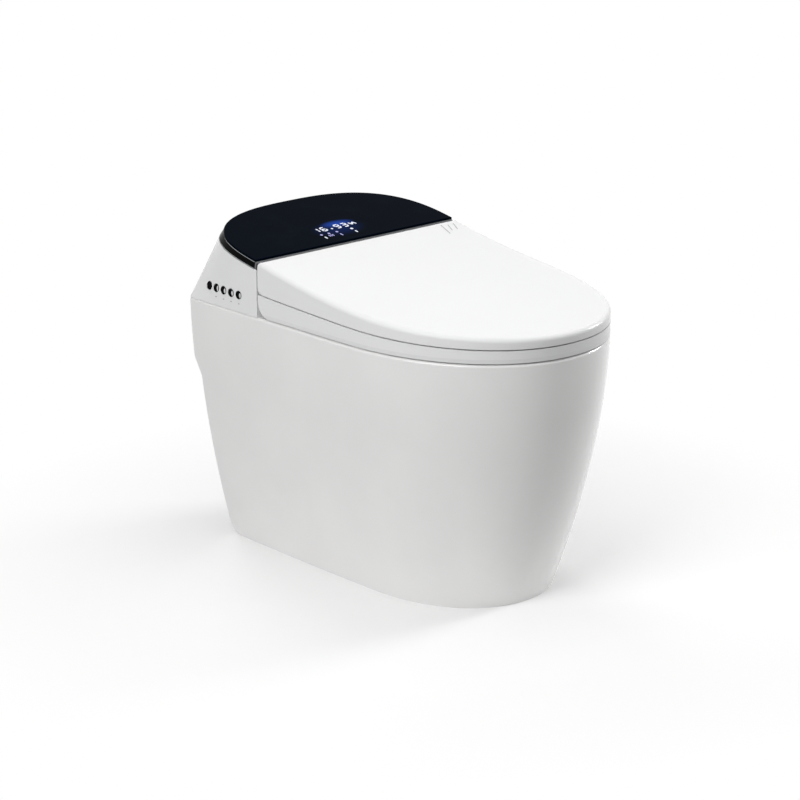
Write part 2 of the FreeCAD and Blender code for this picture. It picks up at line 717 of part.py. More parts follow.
def lid_liner():
    low = RIM_HEIGHT - PASS
    sheet = profile_block(seam_height, LINER_LIFT + LINER, low)
    sheet = sheet.cut(profile_block(seam_height, LINER_LIFT, low - PASS))
    sheet = sheet.common(rim_prism(low, AXIS_Z, SKIN + SEAT_FIT))
    return sheet.cut(box(-BODY_WIDTH, BODY_WIDTH, AXIS_Y - LINER_SETBACK, REAR_Y, 0, AXIS_Z))


def pads(spots, radius, block):
    shapes = []
    for x, y in spots:
        pad = rod_z(radius, x, y, RIM_HEIGHT - PASS, AXIS_Z).common(block)
        shapes.append(pad)
        shapes.append(mirrored(pad))
    return Part.makeCompound(shapes)


def lid_bumpers():
    block = profile_block(seam_height, LINER_LIFT, RIM_HEIGHT - PASS)
    block = block.cut(profile_block(seam_height, -SEAM_GAP / 2 + REST_GAP, RIM_HEIGHT - 2 * PASS))
    return pads(LID_PADS, LID_PAD_RADIUS, block)


def seat_bumpers():
    wide = BODY_LENGTH
    block = box(-wide, wide, -wide, wide, RIM_HEIGHT + REST_GAP, SEAT_LOW_Z)
    return pads(SEAT_PADS, SEAT_PAD_RADIUS, block)


def seat_solid(inset, low_z, shift):
    low = low_z - PASS
    body = profile_block(seam_height, shift, low_z).common(rim_prism(low_z, AXIS_Z, inset))
    hole = Part.Face(oval_wire(HOLE_HALF + inset, HOLE_HALF_LENGTH + inset, HOLE_Y, low))
    body = body.cut(hole.extrude(V(0, 0, AXIS_Z - low)))
    wide = CHEEK_X + inset
    body = body.cut(box(-wide, wide, SEAT_REAR_EDGE - inset, REAR_Y, low, AXIS_Z))
    return body.cut(box(-BODY_WIDTH, BODY_WIDTH, LID_REAR_Y - inset, REAR_Y + PASS, low, AXIS_Z))


def seat_shells():
    corner = rear_trim(SKIN, SEAT_LOW_CORNER, SEAT_LOW_Z)
    outer = seat_solid(0.0, SEAT_LOW_Z, -SEAM_GAP / 2).common(corner)
    outer = rounded(outer, HOLE_ROUND, lambda e: e.isClosed() and e.BoundBox.ZMin > SEAT_SPLIT)
    inner = seat_solid(SKIN, SEAT_LOW_Z + SKIN, -SEAM_GAP / 2 - SKIN)
    inner = inner.common(corner.translate(V(0, -SKIN, SKIN)))
    shell = outer.cut(inner)
    limit = BODY_LENGTH
    below = box(-limit, limit, -limit, limit, 0, SEAT_SPLIT)
    bottom = shell.common(below)
    top = shell.cut(below)
    front = AXIS_Y - ARM_DEPTH
    side = [(front, SEAT_SPLIT + SKIN), (AXIS_Y - SKIN, SEAT_SPLIT + ARM_DEPTH),
            (AXIS_Y + EAR_HALF, AXIS_Z - SKIN), (AXIS_Y - EAR_HALF, AXIS_Z + SKIN),
            (front, RIM_HEIGHT + SEAT_REAR_RISE - 2 * SKIN)]
    arm = prism_x(side, SEAT_ARM_X, SEAT_ARM_X + ARM_WIDTH)
    arm = arm.fuse(hinge_rod(KNUCKLE, SEAT_ARM_X, SEAT_ARM_X + ARM_WIDTH))
    top = top.fuse(both_sides(arm)).cut(hinge_bore(PIN_RADIUS + RUN_FIT))
    return top, bottom


def seat_heater():
    film = seat_solid(SKIN + HEATER_MARGIN, SEAT_LOW_Z + SKIN, -SEAM_GAP / 2 - SKIN)
    return film.cut(profile_block(seam_height, -SEAM_GAP / 2 - SKIN - HEATER_FILM, RIM_HEIGHT - PASS))


def panel_point(x, v, w):
    y = PANEL_FRONT_Y + v * math.cos(PANEL_ANGLE) - w * math.sin(PANEL_ANGLE)
    z = PANEL_FRONT_Z + v * math.sin(PANEL_ANGLE) + w * math.cos(PANEL_ANGLE)
    return V(x, y, z)


def panel_normal():
    return panel_point(0, 0, 1).sub(panel_point(0, 0, 0))


def arc_spot(turn, inset, shape):
    depth, power = shape
    c = math.cos(turn)
    x = math.copysign(abs(c) ** (2 / power), c) * (PANEL_HALF - inset)
    return x, abs(math.sin(turn)) ** (2 / power) * (depth - inset)


def panel_wire(inset, w, shape):
    points = []
    for i in range(41):
        turn = math.pi * i / 40
        x, v = arc_spot(turn, inset, shape)
        points.append(panel_point(x, v + inset * math.cos(turn) ** 8, w))
    return Part.Wire([spline(points), Part.makeLine(points[-1], points[0])])


def panel_slab(inset, w0, w1):
    return Part.Face(panel_wire(inset, w0, PANEL_SHAPE)).extrude(panel_normal() * (w1 - w0))


def glass_panel():
    slab = panel_slab(0.0, -GLASS_THICK, 0.0)
    top = panel_point(0, PANEL_DEPTH / 2, 0)
    normal = panel_normal()
    return rounded(slab, GLASS_EDGE, lambda e: abs(e.CenterOfMass.sub(top).dot(normal)) < 0.05)


def panel_bezel():
    low = panel_wire(0.0, -PANEL_THICK, FLARE_SHAPE)
    high = panel_wire(0.0, -GLASS_THICK, PANEL_SHAPE)
    ring = Part.makeLoft([low, high], True, True)
    return ring.cut(panel_slab(BEZEL_WIDTH, -PANEL_THICK - PASS, PASS))


def display_module():
    spots = ((-1, 0), (1, 0), (1, 1), (-1, 1))
    corners = []
    for side, step in spots:
        corners.append(panel_point(side * DISPLAY_WIDE / 2, DISPLAY_BACK + step * DISPLAY_DEEP, -GLASS_THICK))
    face = Part.Face(Part.makePolygon(corners + corners[:1]))
    return face.extrude(panel_normal() * -DISPLAY_THICK)


def housing_solid(inset):
    corner = inset_corner(inset)
    half_rear = REAR_WIDTH / 2 - inset
    rear_y = REAR_Y - inset
    end_y = rear_y - corner
    start_y = HOUSING_FRONT_Y - HOUSING_LEAD
    z = RIM_HEIGHT - (PASS if inset else 0.0)
    w = -PANEL_THICK + (1.0 if inset else 0.0)

    def low_spot(x, y):
        return V(x, y, z)

    def high_spot(turn):
        x, v = arc_spot(turn, inset, FLARE_SHAPE)
        return panel_point(x, v, w)

    def turns(first, last, count):
        return [high_spot(blend(first, last, i / count)) for i in range(count + 1)]

    side_low = []
    for i in range(9):
        y = blend(start_y, end_y, i / 8)
        side_low.append(low_spot(side_line(BODY_WIDTH / 2 - inset, half_rear, WIDEST_Y, end_y, y), y))
    ahead = start_y - PANEL_FRONT_Y - PANEL_THICK
    side_high = [panel_point(PANEL_HALF - inset, ahead, w)] + turns(0.0, HOUSING_SIDE_TURN, 8)
    corner_high = turns(HOUSING_SIDE_TURN, HOUSING_REAR_TURN, 8)
    rear_high = turns(HOUSING_REAR_TURN, math.pi - HOUSING_REAR_TURN, 12)
    bend = corner * math.sqrt(0.5)
    cx = half_rear - corner
    arc_low = [low_spot(half_rear, end_y), low_spot(cx + bend, end_y + bend), low_spot(cx, rear_y)]

    def other(points):
        return [V(-p.x, p.y, p.z) for p in reversed(points)]

    low = [spline(side_low), Part.Arc(*arc_low).toShape(), Part.makeLine(arc_low[2], other(arc_low)[0]),
           Part.Arc(*other(arc_low)).toShape(), spline(other(side_low)),
           Part.makeLine(other(side_low)[-1], side_low[0])]
    high = [spline(side_high), spline(corner_high), spline(rear_high),
            spline(other(corner_high)), spline(other(side_high)),
            Part.makeLine(other(side_high)[-1], side_high[0])]
    solid = Part.makeLoft([Part.Wire(low), Part.Wire(high)], True, True)
    limit = BODY_WIDTH
    return solid.cut(box(-limit, limit, 0, HOUSING_FRONT_Y + inset, 0, AXIS_Z + RIM_HEIGHT))


def trim_bar():
    back_top = panel_point(0, 0, -GLASS_THICK)
    back_low = panel_point(0, 0, -PANEL_THICK)
    top_z = back_top.z - TRIM_DROP
    low_z = top_z - TRIM_HEIGHT
    points = [(HOUSING_FRONT_Y, low_z), (HOUSING_FRONT_Y, top_z), (back_top.y, back_top.z),
              (back_low.y, back_low.z), (back_low.y, low_z)]
    return prism_x(points, -PANEL_HALF + TRIM_END, PANEL_HALF - TRIM_END)


def button_spots():
    first_y = REAR_Y - BUTTON_SETBACK
    return [first_y - BUTTON_PITCH * i for i in range(BUTTON_COUNT)]


def rear_housing(trim):
    housing = housing_solid(0.0).cut(housing_solid(SKIN))
    housing = housing.cut(trim)
    low = RIM_HEIGHT - PASS
    back = HOUSING_FRONT_Y + SKIN + PASS
    housing = housing.cut(box(-PLATE_HALF, PLATE_HALF, 0, PLATE_REAR_Y, low, PLATE_TOP))
    housing = housing.cut(box(-CHANNEL_HALF, CHANNEL_HALF, 0, back, low, PLATE_TOP + CHANNEL_TALL))
    housing = housing.cut(mouth(0, back))
    for y in button_spots():
        housing = housing.cut(rod_x(BUTTON_RADIUS + SLIDE_FIT, -BODY_WIDTH, CARRIER_X, y, BUTTON_Z))
    return housing


def side_button(y, skin):
    cap = rod_x(BUTTON_RADIUS, -BODY_WIDTH, CARRIER_X - BUTTON_TRAVEL_ROOM, y, BUTTON_Z)
    dish = rod_x(BUTTON_RADIUS - BUTTON_LIP, -BODY_WIDTH, CARRIER_X, y, BUTTON_Z)
    dish = dish.cut(skin.translated(V(BUTTON_DISH - BUTTON_PROUD, 0, 0)))
    cap = cap.common(skin.translated(V(-BUTTON_PROUD, 0, 0))).cut(dish)
    stem = rod_x(STEM_RADIUS, CARRIER_X - BUTTON_TRAVEL_ROOM - 1.0, CARRIER_X + STEM_REACH, y, BUTTON_Z)
    return cap.fuse(stem)


def button_carrier():
    first = button_spots()[-1] - CARRIER_MARGIN
    last = button_spots()[0] + CARRIER_MARGIN
    wall = box(CARRIER_X, CARRIER_X + CARRIER_WALL, first, last, PLATE_TOP, BUTTON_Z + CARRIER_RISE)
    foot = box(CARRIER_X, CARRIER_X + CARRIER_FOOT, first, last, PLATE_TOP, PLATE_TOP + CARRIER_WALL)
    wall = wall.fuse(foot)
    for y in button_spots():
        wall = wall.cut(rod_x(STEM_RADIUS + SLIDE_FIT, CARRIER_X - PASS, CARRIER_X + 2 * PASS, y, BUTTON_Z))
    return wall


def nozzle_spot(distance):
    return V(0, NOZZLE_Y, NOZZLE_Z).add(NOZZLE_ALONG * distance)


def nozzle_block(half_x, half_z, start, length):
    block = Part.makeBox(2 * half_x, length, 2 * half_z, V(-half_x, start, -half_z))
    block.rotate(V(0, 0, 0), V(1, 0, 0), math.degrees(NOZZLE_TILT))
    return block.translated(V(0, NOZZLE_Y, NOZZLE_Z))


def nozzle_guide():
    guide = nozzle_block(GUIDE_HALF, GUIDE_HALF_TALL, GUIDE_START, GUIDE_LENGTH)
    back = GUIDE_EAR_Y + GUIDE_EAR_DEEP
    wide = GUIDE_HALF + GUIDE_EAR
    guide = guide.fuse(box(-wide, wide, GUIDE_EAR_Y, back, PLATE_TOP, PLATE_TOP + PLATE))
    saddle = box(-GUIDE_HALF, GUIDE_HALF, GUIDE_EAR_Y, back, PLATE_TOP, PLATE_TOP + GUIDE_HALF_TALL)
    guide = guide.fuse(saddle)
    end = nozzle_spot(GUIDE_START + GUIDE_LENGTH - GUIDE_END_WALL)
    return guide.cut(rod(NOZZLE_RADIUS + SLIDE_FIT, nozzle_spot(0), end))


def nozzle_wand():
    wand = rod(NOZZLE_RADIUS, nozzle_spot(TIP_LENGTH), nozzle_spot(NOZZLE_LENGTH))
    rack = nozzle_block(2.0, 1.2, RACK_START, RACK_LENGTH).translated(V(0, 0, NOZZLE_RADIUS - 1.6))
    return wand.cut(rack)


def nozzle_tip():
    radius = NOZZLE_RADIUS - TIP_STEP
    tip = rod(radius, nozzle_spot(-TIP_NOSE), nozzle_spot(TIP_LENGTH))
    tip = tip.fuse(Part.makeSphere(radius, nozzle_spot(-TIP_NOSE)))
    for distance in JET_SPOTS:
        spot = nozzle_spot(distance)
        tip = tip.cut(rod(JET_RADIUS, spot.add(NOZZLE_UP * 2.0), spot.add(NOZZLE_UP * NOZZLE_LENGTH)))
    return tip.cut(rod(NOZZLE_RADIUS, nozzle_spot(TIP_LENGTH), nozzle_spot(2 * TIP_LENGTH)))


def nozzle_motor():
    spot = nozzle_spot(GUIDE_START + GUIDE_LENGTH - NOZZLE_MOTOR_BACK)
    end = GUIDE_HALF + NOZZLE_MOTOR_LENGTH
    body = rod_x(NOZZLE_MOTOR_RADIUS, GUIDE_HALF, end, spot.y, spot.z)
    return body.fuse(rod_x(NOZZLE_RADIUS, end, end + PLATE, spot.y, spot.z))


def base_plate():
    low = RIM_HEIGHT - PASS
    high = PLATE_TOP + PASS
    plate = box(-PLATE_HALF, PLATE_HALF, HOUSING_FRONT_Y, PLATE_REAR_Y, RIM_HEIGHT, PLATE_TOP)
    plate = plate.fuse(box(-TONGUE_HALF, TONGUE_HALF, PLATE_FRONT_Y, HOUSING_FRONT_Y, RIM_HEIGHT, PLATE_TOP))
    plate = plate.cut(box(-CHANNEL_HALF, CHANNEL_HALF, PLATE_FRONT_Y - PASS, GUIDE_EAR_Y + 2.0, low, high))
    plate = plate.cut(rod_z(FEED_RADIUS, FEED_X, FEED_Y, low, high))
    for x, y in BOLT_SPOTS:
        plate = plate.cut(rod_z(BOLT_RADIUS + SEAT_FIT, x, y, low, high))
    side = [(AXIS_Y - POST_FOOT, PLATE_TOP), (AXIS_Y + POST_FOOT, PLATE_TOP),
            (AXIS_Y + KNUCKLE / 2, AXIS_Z - PIN_RADIUS), (AXIS_Y - KNUCKLE, AXIS_Z)]
    post = prism_x(side, POST_X, POST_X + POST_WIDTH)
    post = post.fuse(hinge_rod(KNUCKLE, POST_X, POST_X + POST_WIDTH))
    return plate.fuse(both_sides(post)).cut(hinge_bore(PIN_RADIUS))


def base_plate_bolts():
    shapes = []
    for x, y in BOLT_SPOTS:
        corners = []
        for k in range(7):
            turn = math.pi * k / 3
            corners.append(V(x + BOLT_HEAD * math.cos(turn), y + BOLT_HEAD * math.sin(turn), PLATE_TOP))
        head = Part.Face(Part.makePolygon(corners)).extrude(V(0, 0, BOLT_HEAD_TALL))
        shapes.append(head.fuse(rod_z(BOLT_RADIUS, x, y, RIM_HEIGHT - DECK, PLATE_TOP)))
    return Part.makeCompound(shapes)


def hinge_pins():
    pin = hinge_rod(PIN_RADIUS, POST_X, PIN_END_X)
    return Part.makeCompound([pin, mirrored(pin)])


def damper(side):
    start = POST_X - DAMPER_LENGTH
    end = start - DAMPER_CAP
    body = hinge_rod(KNUCKLE, start, POST_X)
    body = body.fuse(hinge_rod(DAMPER_CAP_RADIUS, end, start))
    half = DAMPER_SLOT / 2
    slot = box(end - PASS, start - half, AXIS_Y - half, AXIS_Y + half, AXIS_Z - 2 * PASS, AXIS_Z + 2 * PASS)
    body = body.cut(slot)
    return body if side > 0 else mirrored(body)


def mouth(y0, y1):
    low = PLATE_TOP + DRYER_WALL
    return box(MOUTH_X0 + DRYER_WALL, MOUTH_X1 - DRYER_WALL, y0, y1, low, DRYER_TOP - DRYER_WALL)


def dryer_rod(radius, z0, z1):
    return rod_z(radius, DRYER_X, DRYER_Y, z0, z1)


def dryer_housing():
    scroll = dryer_rod(DRYER_RADIUS, PLATE_TOP, DRYER_TOP)
    scroll = scroll.fuse(box(MOUTH_X0, MOUTH_X1, MOUTH_Y, DRYER_Y, PLATE_TOP, DRYER_TOP))
    scroll = scroll.cut(dryer_rod(DRYER_RADIUS - DRYER_WALL, PLATE_TOP + DRYER_WALL, DRYER_TOP - DRYER_WALL))
    scroll = scroll.cut(mouth(MOUTH_Y - PASS, DRYER_Y))
    return scroll.cut(dryer_rod(SHAFT_HOLE, DRYER_TOP - 2 * DRYER_WALL, DRYER_TOP + PASS))


def dryer_motor():
    body = dryer_rod(DRYER_MOTOR_RADIUS, DRYER_TOP, DRYER_TOP + DRYER_MOTOR_TALL)
    return body.fuse(dryer_rod(SHAFT_RADIUS, DRYER_TOP - SHAFT_LENGTH, DRYER_TOP))


def dryer_wheel():
    z0 = PLATE_TOP + DRYER_WALL + WHEEL_GAP_LOW
    z1 = DRYER_TOP - DRYER_WALL - WHEEL_GAP_HIGH
    wheel = dryer_rod(WHEEL_RADIUS, z0, z0 + WHEEL_FLOOR)
    wheel = wheel.fuse(dryer_rod(WHEEL_HUB, z0, z1))
    for i in range(BLADE_COUNT):
        blade = Part.makeBox(BLADE_LENGTH, BLADE_THICK, z1 - z0, V(BLADE_INNER, -BLADE_THICK / 2, z0))
        blade.rotate(V(BLADE_INNER, 0, z0), V(0, 0, 1), BLADE_TURN)
        blade.rotate(V(0, 0, 0), V(0, 0, 1), 360.0 * i / BLADE_COUNT)
        wheel = wheel.fuse(blade.translated(V(DRYER_X, DRYER_Y, 0)))
    return wheel.cut(dryer_rod(SHAFT_RADIUS + RUN_FIT, z0 + WHEEL_FLOOR / 2, DRYER_TOP))


def dryer_duct():
    start = HOUSING_FRONT_Y + SKIN
    duct = box(MOUTH_X0, MOUTH_X1, start, MOUTH_Y, PLATE_TOP, DRYER_TOP)
    return duct.cut(mouth(start - PASS, MOUTH_Y + PASS))


def plain_box(size, x0, front, radius):
    wide, deep, tall = size
    y0 = BAY_FRONT_Y + front
    body = box(x0, x0 + wide, y0, y0 + deep, PLATE_TOP, PLATE_TOP + tall)
    return rounded(body, radius, lambda e: e.BoundBox.ZLength > tall / 2)


def spigots(size, x0, front, radius, places):
    wide, deep, tall = size
    y = BAY_FRONT_Y + front + deep / 2
    top = PLATE_TOP + tall
    return [rod_z(radius, x0 + wide * place, y, top, top + SPIGOT_TALL) for place in places]


def water_heater():
    x0 = -BAY_HALF + WATER_HEATER_SIDE
    body = plain_box(WATER_HEATER, x0, WATER_HEATER_FRONT, TANK_CORNER)
    return body.multiFuse(spigots(WATER_HEATER, x0, WATER_HEATER_FRONT, HEATER_SPIGOT, (0.25, 0.75)))


def power_supply():
    x0 = -BAY_HALF + POWER_SUPPLY_SIDE
    wide, deep, tall = POWER_SUPPLY
    body = plain_box(POWER_SUPPLY, x0, POWER_SUPPLY_FRONT, SKIN)
    y0 = BAY_FRONT_Y + POWER_SUPPLY_FRONT
    top = PLATE_TOP + tall
    for i in range(6):
        x = x0 + SLOT_PITCH * (i + 0.8)
        body = body.cut(box(x, x + SLOT_WIDTH, y0 + PASS, y0 + deep - PASS, top - SLOT_DEEP, top + PASS))
    return body


def diverter_valve():
    body = plain_box(DIVERTER, DIVERTER_X, DIVERTER_FRONT, SKIN)
    return body.multiFuse(spigots(DIVERTER, DIVERTER_X, DIVERTER_FRONT, DIVERTER_SPIGOT, (0.25, 0.75)))


def inlet_valve():
    x0 = BAY_HALF - RIGHT_ROW_SIDE
    wide, deep, tall = INLET_VALVE
    top = PLATE_TOP + tall
    y = BAY_FRONT_Y + INLET_VALVE_FRONT + deep / 2
    body = plain_box(INLET_VALVE, x0, INLET_VALVE_FRONT, SKIN)
    return body.fuse(rod_z(VALVE_COIL, x0 + wide / 2, y, top, top + VALVE_COIL_TALL))


def deodorizer_cartridge():
    x0 = BAY_HALF - RIGHT_ROW_SIDE
    wide, deep, tall = CARTRIDGE
    body = plain_box(CARTRIDGE, x0, CARTRIDGE_FRONT, SKIN)
    top = PLATE_TOP + tall
    for i in range(5):
        y = BAY_FRONT_Y + CARTRIDGE_FRONT + VENT_PITCH * (i + 0.8)
        body = body.cut(box(x0 + PASS, x0 + wide - PASS, y, y + VENT_WIDTH, top - VENT_DEEP, top + PASS))
    return body


def wash_pump():
    x0 = BAY_HALF - PUMP_BODY_SIDE
    x1 = x0 + PUMP_BODY_LENGTH
    y = BAY_FRONT_Y + PUMP_BODY_BACK
    z = PLATE_TOP + PUMP_BODY_RADIUS
    body = rod_x(PUMP_BODY_RADIUS, x0, x1, y, z)
    body = body.fuse(rod_x(PUMP_NOSE_RADIUS, x0 - PUMP_NOSE_LENGTH, x0, y, z))
    half = PUMP_CRADLE_HALF
    cradle = box(x0 + PUMP_CRADLE_END, x1 - PUMP_CRADLE_END, y - half, y + half, PLATE_TOP, z)
    return body.fuse(cradle)


def control_board():
    y = PLATE_REAR_Y - BOARD_SETBACK
    wide, deep, tall = CHIP
    board = box(-BOARD_HALF, BOARD_HALF, y, y + BOARD_THICK, PLATE_TOP, PLATE_TOP + BOARD_TALL)
    low = PLATE_TOP + CHIP_RISE
    for x in CHIP_SPOTS:
        board = board.fuse(box(x, x + wide, y - deep, y, low, low + tall))
    for x in CAPACITOR_SPOTS:
        board = board.fuse(rod_y(CAPACITOR_RADIUS, x, y - CAPACITOR_LENGTH, y, PLATE_TOP + CAPACITOR_RISE))
    return board


def flush_tank():
    tank = box(-TANK_HALF, TANK_HALF, TANK_FRONT_Y, TANK_REAR_Y, TANK_LOW, RIM_HEIGHT)
    tank = rounded(tank, TANK_CORNER, lambda e: e.BoundBox.ZLength > TANK_TALL / 2)
    half = TANK_HALF - TANK_WALL
    hollow = box(-half, half, TANK_FRONT_Y + TANK_WALL, TANK_REAR_Y - TANK_WALL,
                 TANK_LOW + TANK_WALL, RIM_HEIGHT - TANK_WALL)
    port = rod_z(TANK_PORT_RADIUS, PUMP_X, PUMP_Y, TANK_LOW - PASS, TANK_LOW + TANK_WALL + PASS)
    fill = rod_z(TANK_FILL_RADIUS, FEED_X, FEED_Y, RIM_HEIGHT - TANK_WALL - PASS, RIM_HEIGHT + PASS)
    return tank.cut(hollow).cut(port).cut(fill)


def flush_pump():
    low = PORT_Z - PUMP_BELOW_PORT
    pump = rod_z(PUMP_RADIUS, PUMP_X, PUMP_Y, low, TANK_LOW)
    pump = pump.fuse(rod_z(PUMP_FOOT_RADIUS, PUMP_X, PUMP_Y, low - PUMP_FOOT_TALL, low))
    return pump.fuse(rod_x(PORT_RADIUS, PORT_X, PUMP_X, PUMP_Y, PORT_Z))


def flush_pipe():
    turn = PIPE_BEND * math.sqrt(0.5)
    end_y = OUTLET_Y + OUTLET_RADIUS + TRAP_WALL + SEAT_FIT
    start = V(PORT_X, PUMP_Y, PORT_Z)
    mid = V(PORT_X - turn, PUMP_Y - PIPE_BEND + turn, PORT_Z)
    knee = V(PORT_X - PIPE_BEND, PUMP_Y - PIPE_BEND, PORT_Z)
    straight = Part.makeLine(knee, V(knee.x, end_y, PORT_Z))
    path = Part.Wire([Part.Arc(start, mid, knee).toShape(), straight])
    tubes = []
    for radius in (PORT_RADIUS, PORT_RADIUS - PORT_WALL):
        ring = Part.Wire([Part.makeCircle(radius, start, V(1, 0, 0))])
        tubes.append(path.makePipeShell([ring], True, False))
    return tubes[0].cut(tubes[1])


def service_plate():
    plate = service_block(-SEAT_FIT, INNER_Y, RECESS_Y).fuse(service_block(SERVICE_LAP, LIP_Y, INNER_Y))
    for x, radius in ((INLET_X, INLET_RADIUS), (GLAND_X, GLAND_RADIUS)):
        plate = plate.cut(rod_y(radius + SEAT_FIT, x, LIP_Y - PASS, RECESS_Y + PASS, CONNECTOR_Z))
    return plate


def wall_stub(x, radius, bore, reach, collar, collar_thick):
    start = LIP_Y - STUB_INSIDE
    stub = rod_y(radius, x, start, RECESS_Y + reach, CONNECTOR_Z)
    stub = stub.fuse(rod_y(radius + collar, x, RECESS_Y, RECESS_Y + collar_thick, CONNECTOR_Z))
    stub = stub.fuse(rod_y(radius + collar, x, LIP_Y - NUT_THICK, LIP_Y, CONNECTOR_Z))
    return stub.cut(rod_y(bore, x, start - PASS, RECESS_Y + reach + PASS, CONNECTOR_Z))


def inlet_connector():
    bore = INLET_RADIUS - INLET_WALL
    return wall_stub(INLET_X, INLET_RADIUS, bore, INLET_REACH, INLET_COLLAR, INLET_COLLAR_THICK)


def power_gland():
    return wall_stub(GLAND_X, GLAND_RADIUS, GLAND_BORE, GLAND_REACH, GLAND_COLLAR, GLAND_COLLAR_THICK)


def main():
    save("ceramic_body", ceramic_body())
    save("bowl_and_trap", bowl_and_trap())
    save("outlet_seal", outlet_seal())
    save("service_plate", service_plate())
    save("base_plate", base_plate())
    save("base_plate_bolts", base_plate_bolts())
    trim = trim_bar()
    save("rear_housing", rear_housing(trim))
    save("panel_front_trim", trim)
    save("panel_bezel", panel_bezel())
    save("glass_panel", glass_panel())
    save("display_module", display_module())
    save("hinge_pins", hinge_pins())
    save("seat_damper", damper(-1))
    save("lid_damper", damper(1))
    save("nozzle_guide", nozzle_guide())
    save("nozzle_motor", nozzle_motor())
    save("nozzle_wand", nozzle_wand())
    save("nozzle_tip", nozzle_tip())
    save("water_heater", water_heater())
    save("power_supply", power_supply())
    save("diverter_valve", diverter_valve())
    save("inlet_valve", inlet_valve())
    save("wash_pump", wash_pump())
    save("deodorizer_cartridge", deodorizer_cartridge())
    save("control_board", control_board())
    save("dryer_housing", dryer_housing())
    save("dryer_motor", dryer_motor())
    save("dryer_wheel", dryer_wheel())
    save("dryer_duct", dryer_duct())
    save("flush_tank", flush_tank())
    save("flush_pump", flush_pump())
    save("flush_pipe", flush_pipe())
    save("inlet_connector", inlet_connector())
    save("power_gland", power_gland())
    save("button_carrier", button_carrier())
    skin = housing_solid(0.0)
    for i, y in enumerate(button_spots()):
        save("side_button_" + str(i + 1), side_button(y, skin))
    top, bottom = seat_shells()
    save("seat_top_shell", top)
    save("seat_bottom_shell", bottom)
    save("seat_heater", seat_heater())
    save("seat_bumpers", seat_bumpers())
    save("lid_shell", lid_shell())
    save("lid_liner", lid_liner())
    save("lid_bumpers", lid_bumpers())


main()
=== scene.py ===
"""A smart toilet: glazed pan, heated seat, lid, and a rear housing under a sloping black glass panel."""

import json
import math

import bmesh
import bpy
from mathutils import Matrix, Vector
from mathutils.bvhtree import BVHTree


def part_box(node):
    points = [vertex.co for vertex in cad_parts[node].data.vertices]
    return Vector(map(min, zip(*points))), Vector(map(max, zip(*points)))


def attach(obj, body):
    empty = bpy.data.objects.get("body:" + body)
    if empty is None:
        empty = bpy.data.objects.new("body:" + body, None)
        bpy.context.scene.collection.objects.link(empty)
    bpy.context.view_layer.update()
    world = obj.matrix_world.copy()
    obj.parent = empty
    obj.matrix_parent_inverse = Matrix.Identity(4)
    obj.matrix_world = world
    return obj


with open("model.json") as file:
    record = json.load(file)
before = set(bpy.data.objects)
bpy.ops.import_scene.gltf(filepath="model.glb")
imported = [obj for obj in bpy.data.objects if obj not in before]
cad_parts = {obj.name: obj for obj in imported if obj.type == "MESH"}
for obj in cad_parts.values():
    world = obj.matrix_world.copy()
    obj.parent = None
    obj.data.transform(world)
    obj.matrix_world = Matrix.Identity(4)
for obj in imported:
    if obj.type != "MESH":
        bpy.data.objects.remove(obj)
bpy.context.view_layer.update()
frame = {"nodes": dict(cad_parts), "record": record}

# Camera, in metres and degrees, on a 36 mm square sensor
CAMERA_PLACE = (-2.7051, -2.8686, 1.4759)
CAMERA_TILT = 72.8
CAMERA_TURN = -42.8
CAMERA_LENS = 124.51
CAMERA_SENSOR = 36.0
CAMERA_REACH = 60.0

# Colours of each finish: its first tone, and the tone that it turns to in patches, tracks or wear
GLAZE = ((0.880, 0.877, 0.870, 1), (0.846, 0.843, 0.838, 1))
GLOSS = ((0.865, 0.868, 0.872, 1), (0.840, 0.842, 0.842, 1))
LINER = ((0.800, 0.803, 0.806, 1), (0.760, 0.764, 0.768, 1))
GLASS = ((0.0003, 0.0021, 0.0061, 1), (0.0014, 0.0037, 0.0084, 1))
BEZEL = ((0.0016, 0.0017, 0.0020, 1), (0.0050, 0.0052, 0.0058, 1))
RUBBER = ((0.055, 0.056, 0.058, 1), (0.105, 0.106, 0.108, 1))
BOARD = ((0.010, 0.085, 0.040, 1), (0.030, 0.170, 0.075, 1))
HEATER = ((0.34, 0.12, 0.02, 1), (0.62, 0.30, 0.12, 1))
# Pale tones of the marks on the buttons: a painted glint, a highlight painted on as print
BUTTON_GLINT_TONES = ((0.74, 0.74, 0.74, 1), (0.58, 0.58, 0.58, 1))
DASH_PRINT = ((0.34, 0.34, 0.34, 1), (0.46, 0.46, 0.46, 1))
FLOOR_TONES = ((0.94, 0.94, 0.94, 1), (0.96, 0.96, 0.96, 1))
WHITE = (1.0, 1.0, 1.0, 1)
BLACK = (0.0, 0.0, 0.0, 1)

# Brushed metals: two tones, the grain along each axis, and the roughness
METALS = {
    "chrome_trim": ((0.56, 0.565, 0.575, 1), (0.47, 0.475, 0.485, 1), (4, 260, 260), 0.18),
    "smoked_chrome": ((0.150, 0.153, 0.160, 1), (0.110, 0.113, 0.120, 1), (4, 260, 260), 0.18),
    # edge_metal is the metal of the strip that stands in for the highlight on the glass's edge chamfer
    "edge_metal": ((0.34, 0.345, 0.355, 1), (0.27, 0.275, 0.285, 1), (4, 260, 260), 0.18),
    "steel": ((0.62, 0.62, 0.61, 1), (0.50, 0.50, 0.50, 1), (700, 700, 20), 0.24),
}

# Moulded plastics: two tones, the roughness, and the fineness of the spark-eroded skin
PLASTICS = {
    "grey_plastic": ((0.30, 0.31, 0.32, 1), (0.24, 0.25, 0.26, 1), 0.42, 520),
    "damper_plastic": ((0.075, 0.078, 0.084, 1), (0.052, 0.054, 0.058, 1), 0.38, 520),
    "nozzle_white": ((0.80, 0.81, 0.82, 1), (0.74, 0.75, 0.76, 1), 0.28, 640),
}

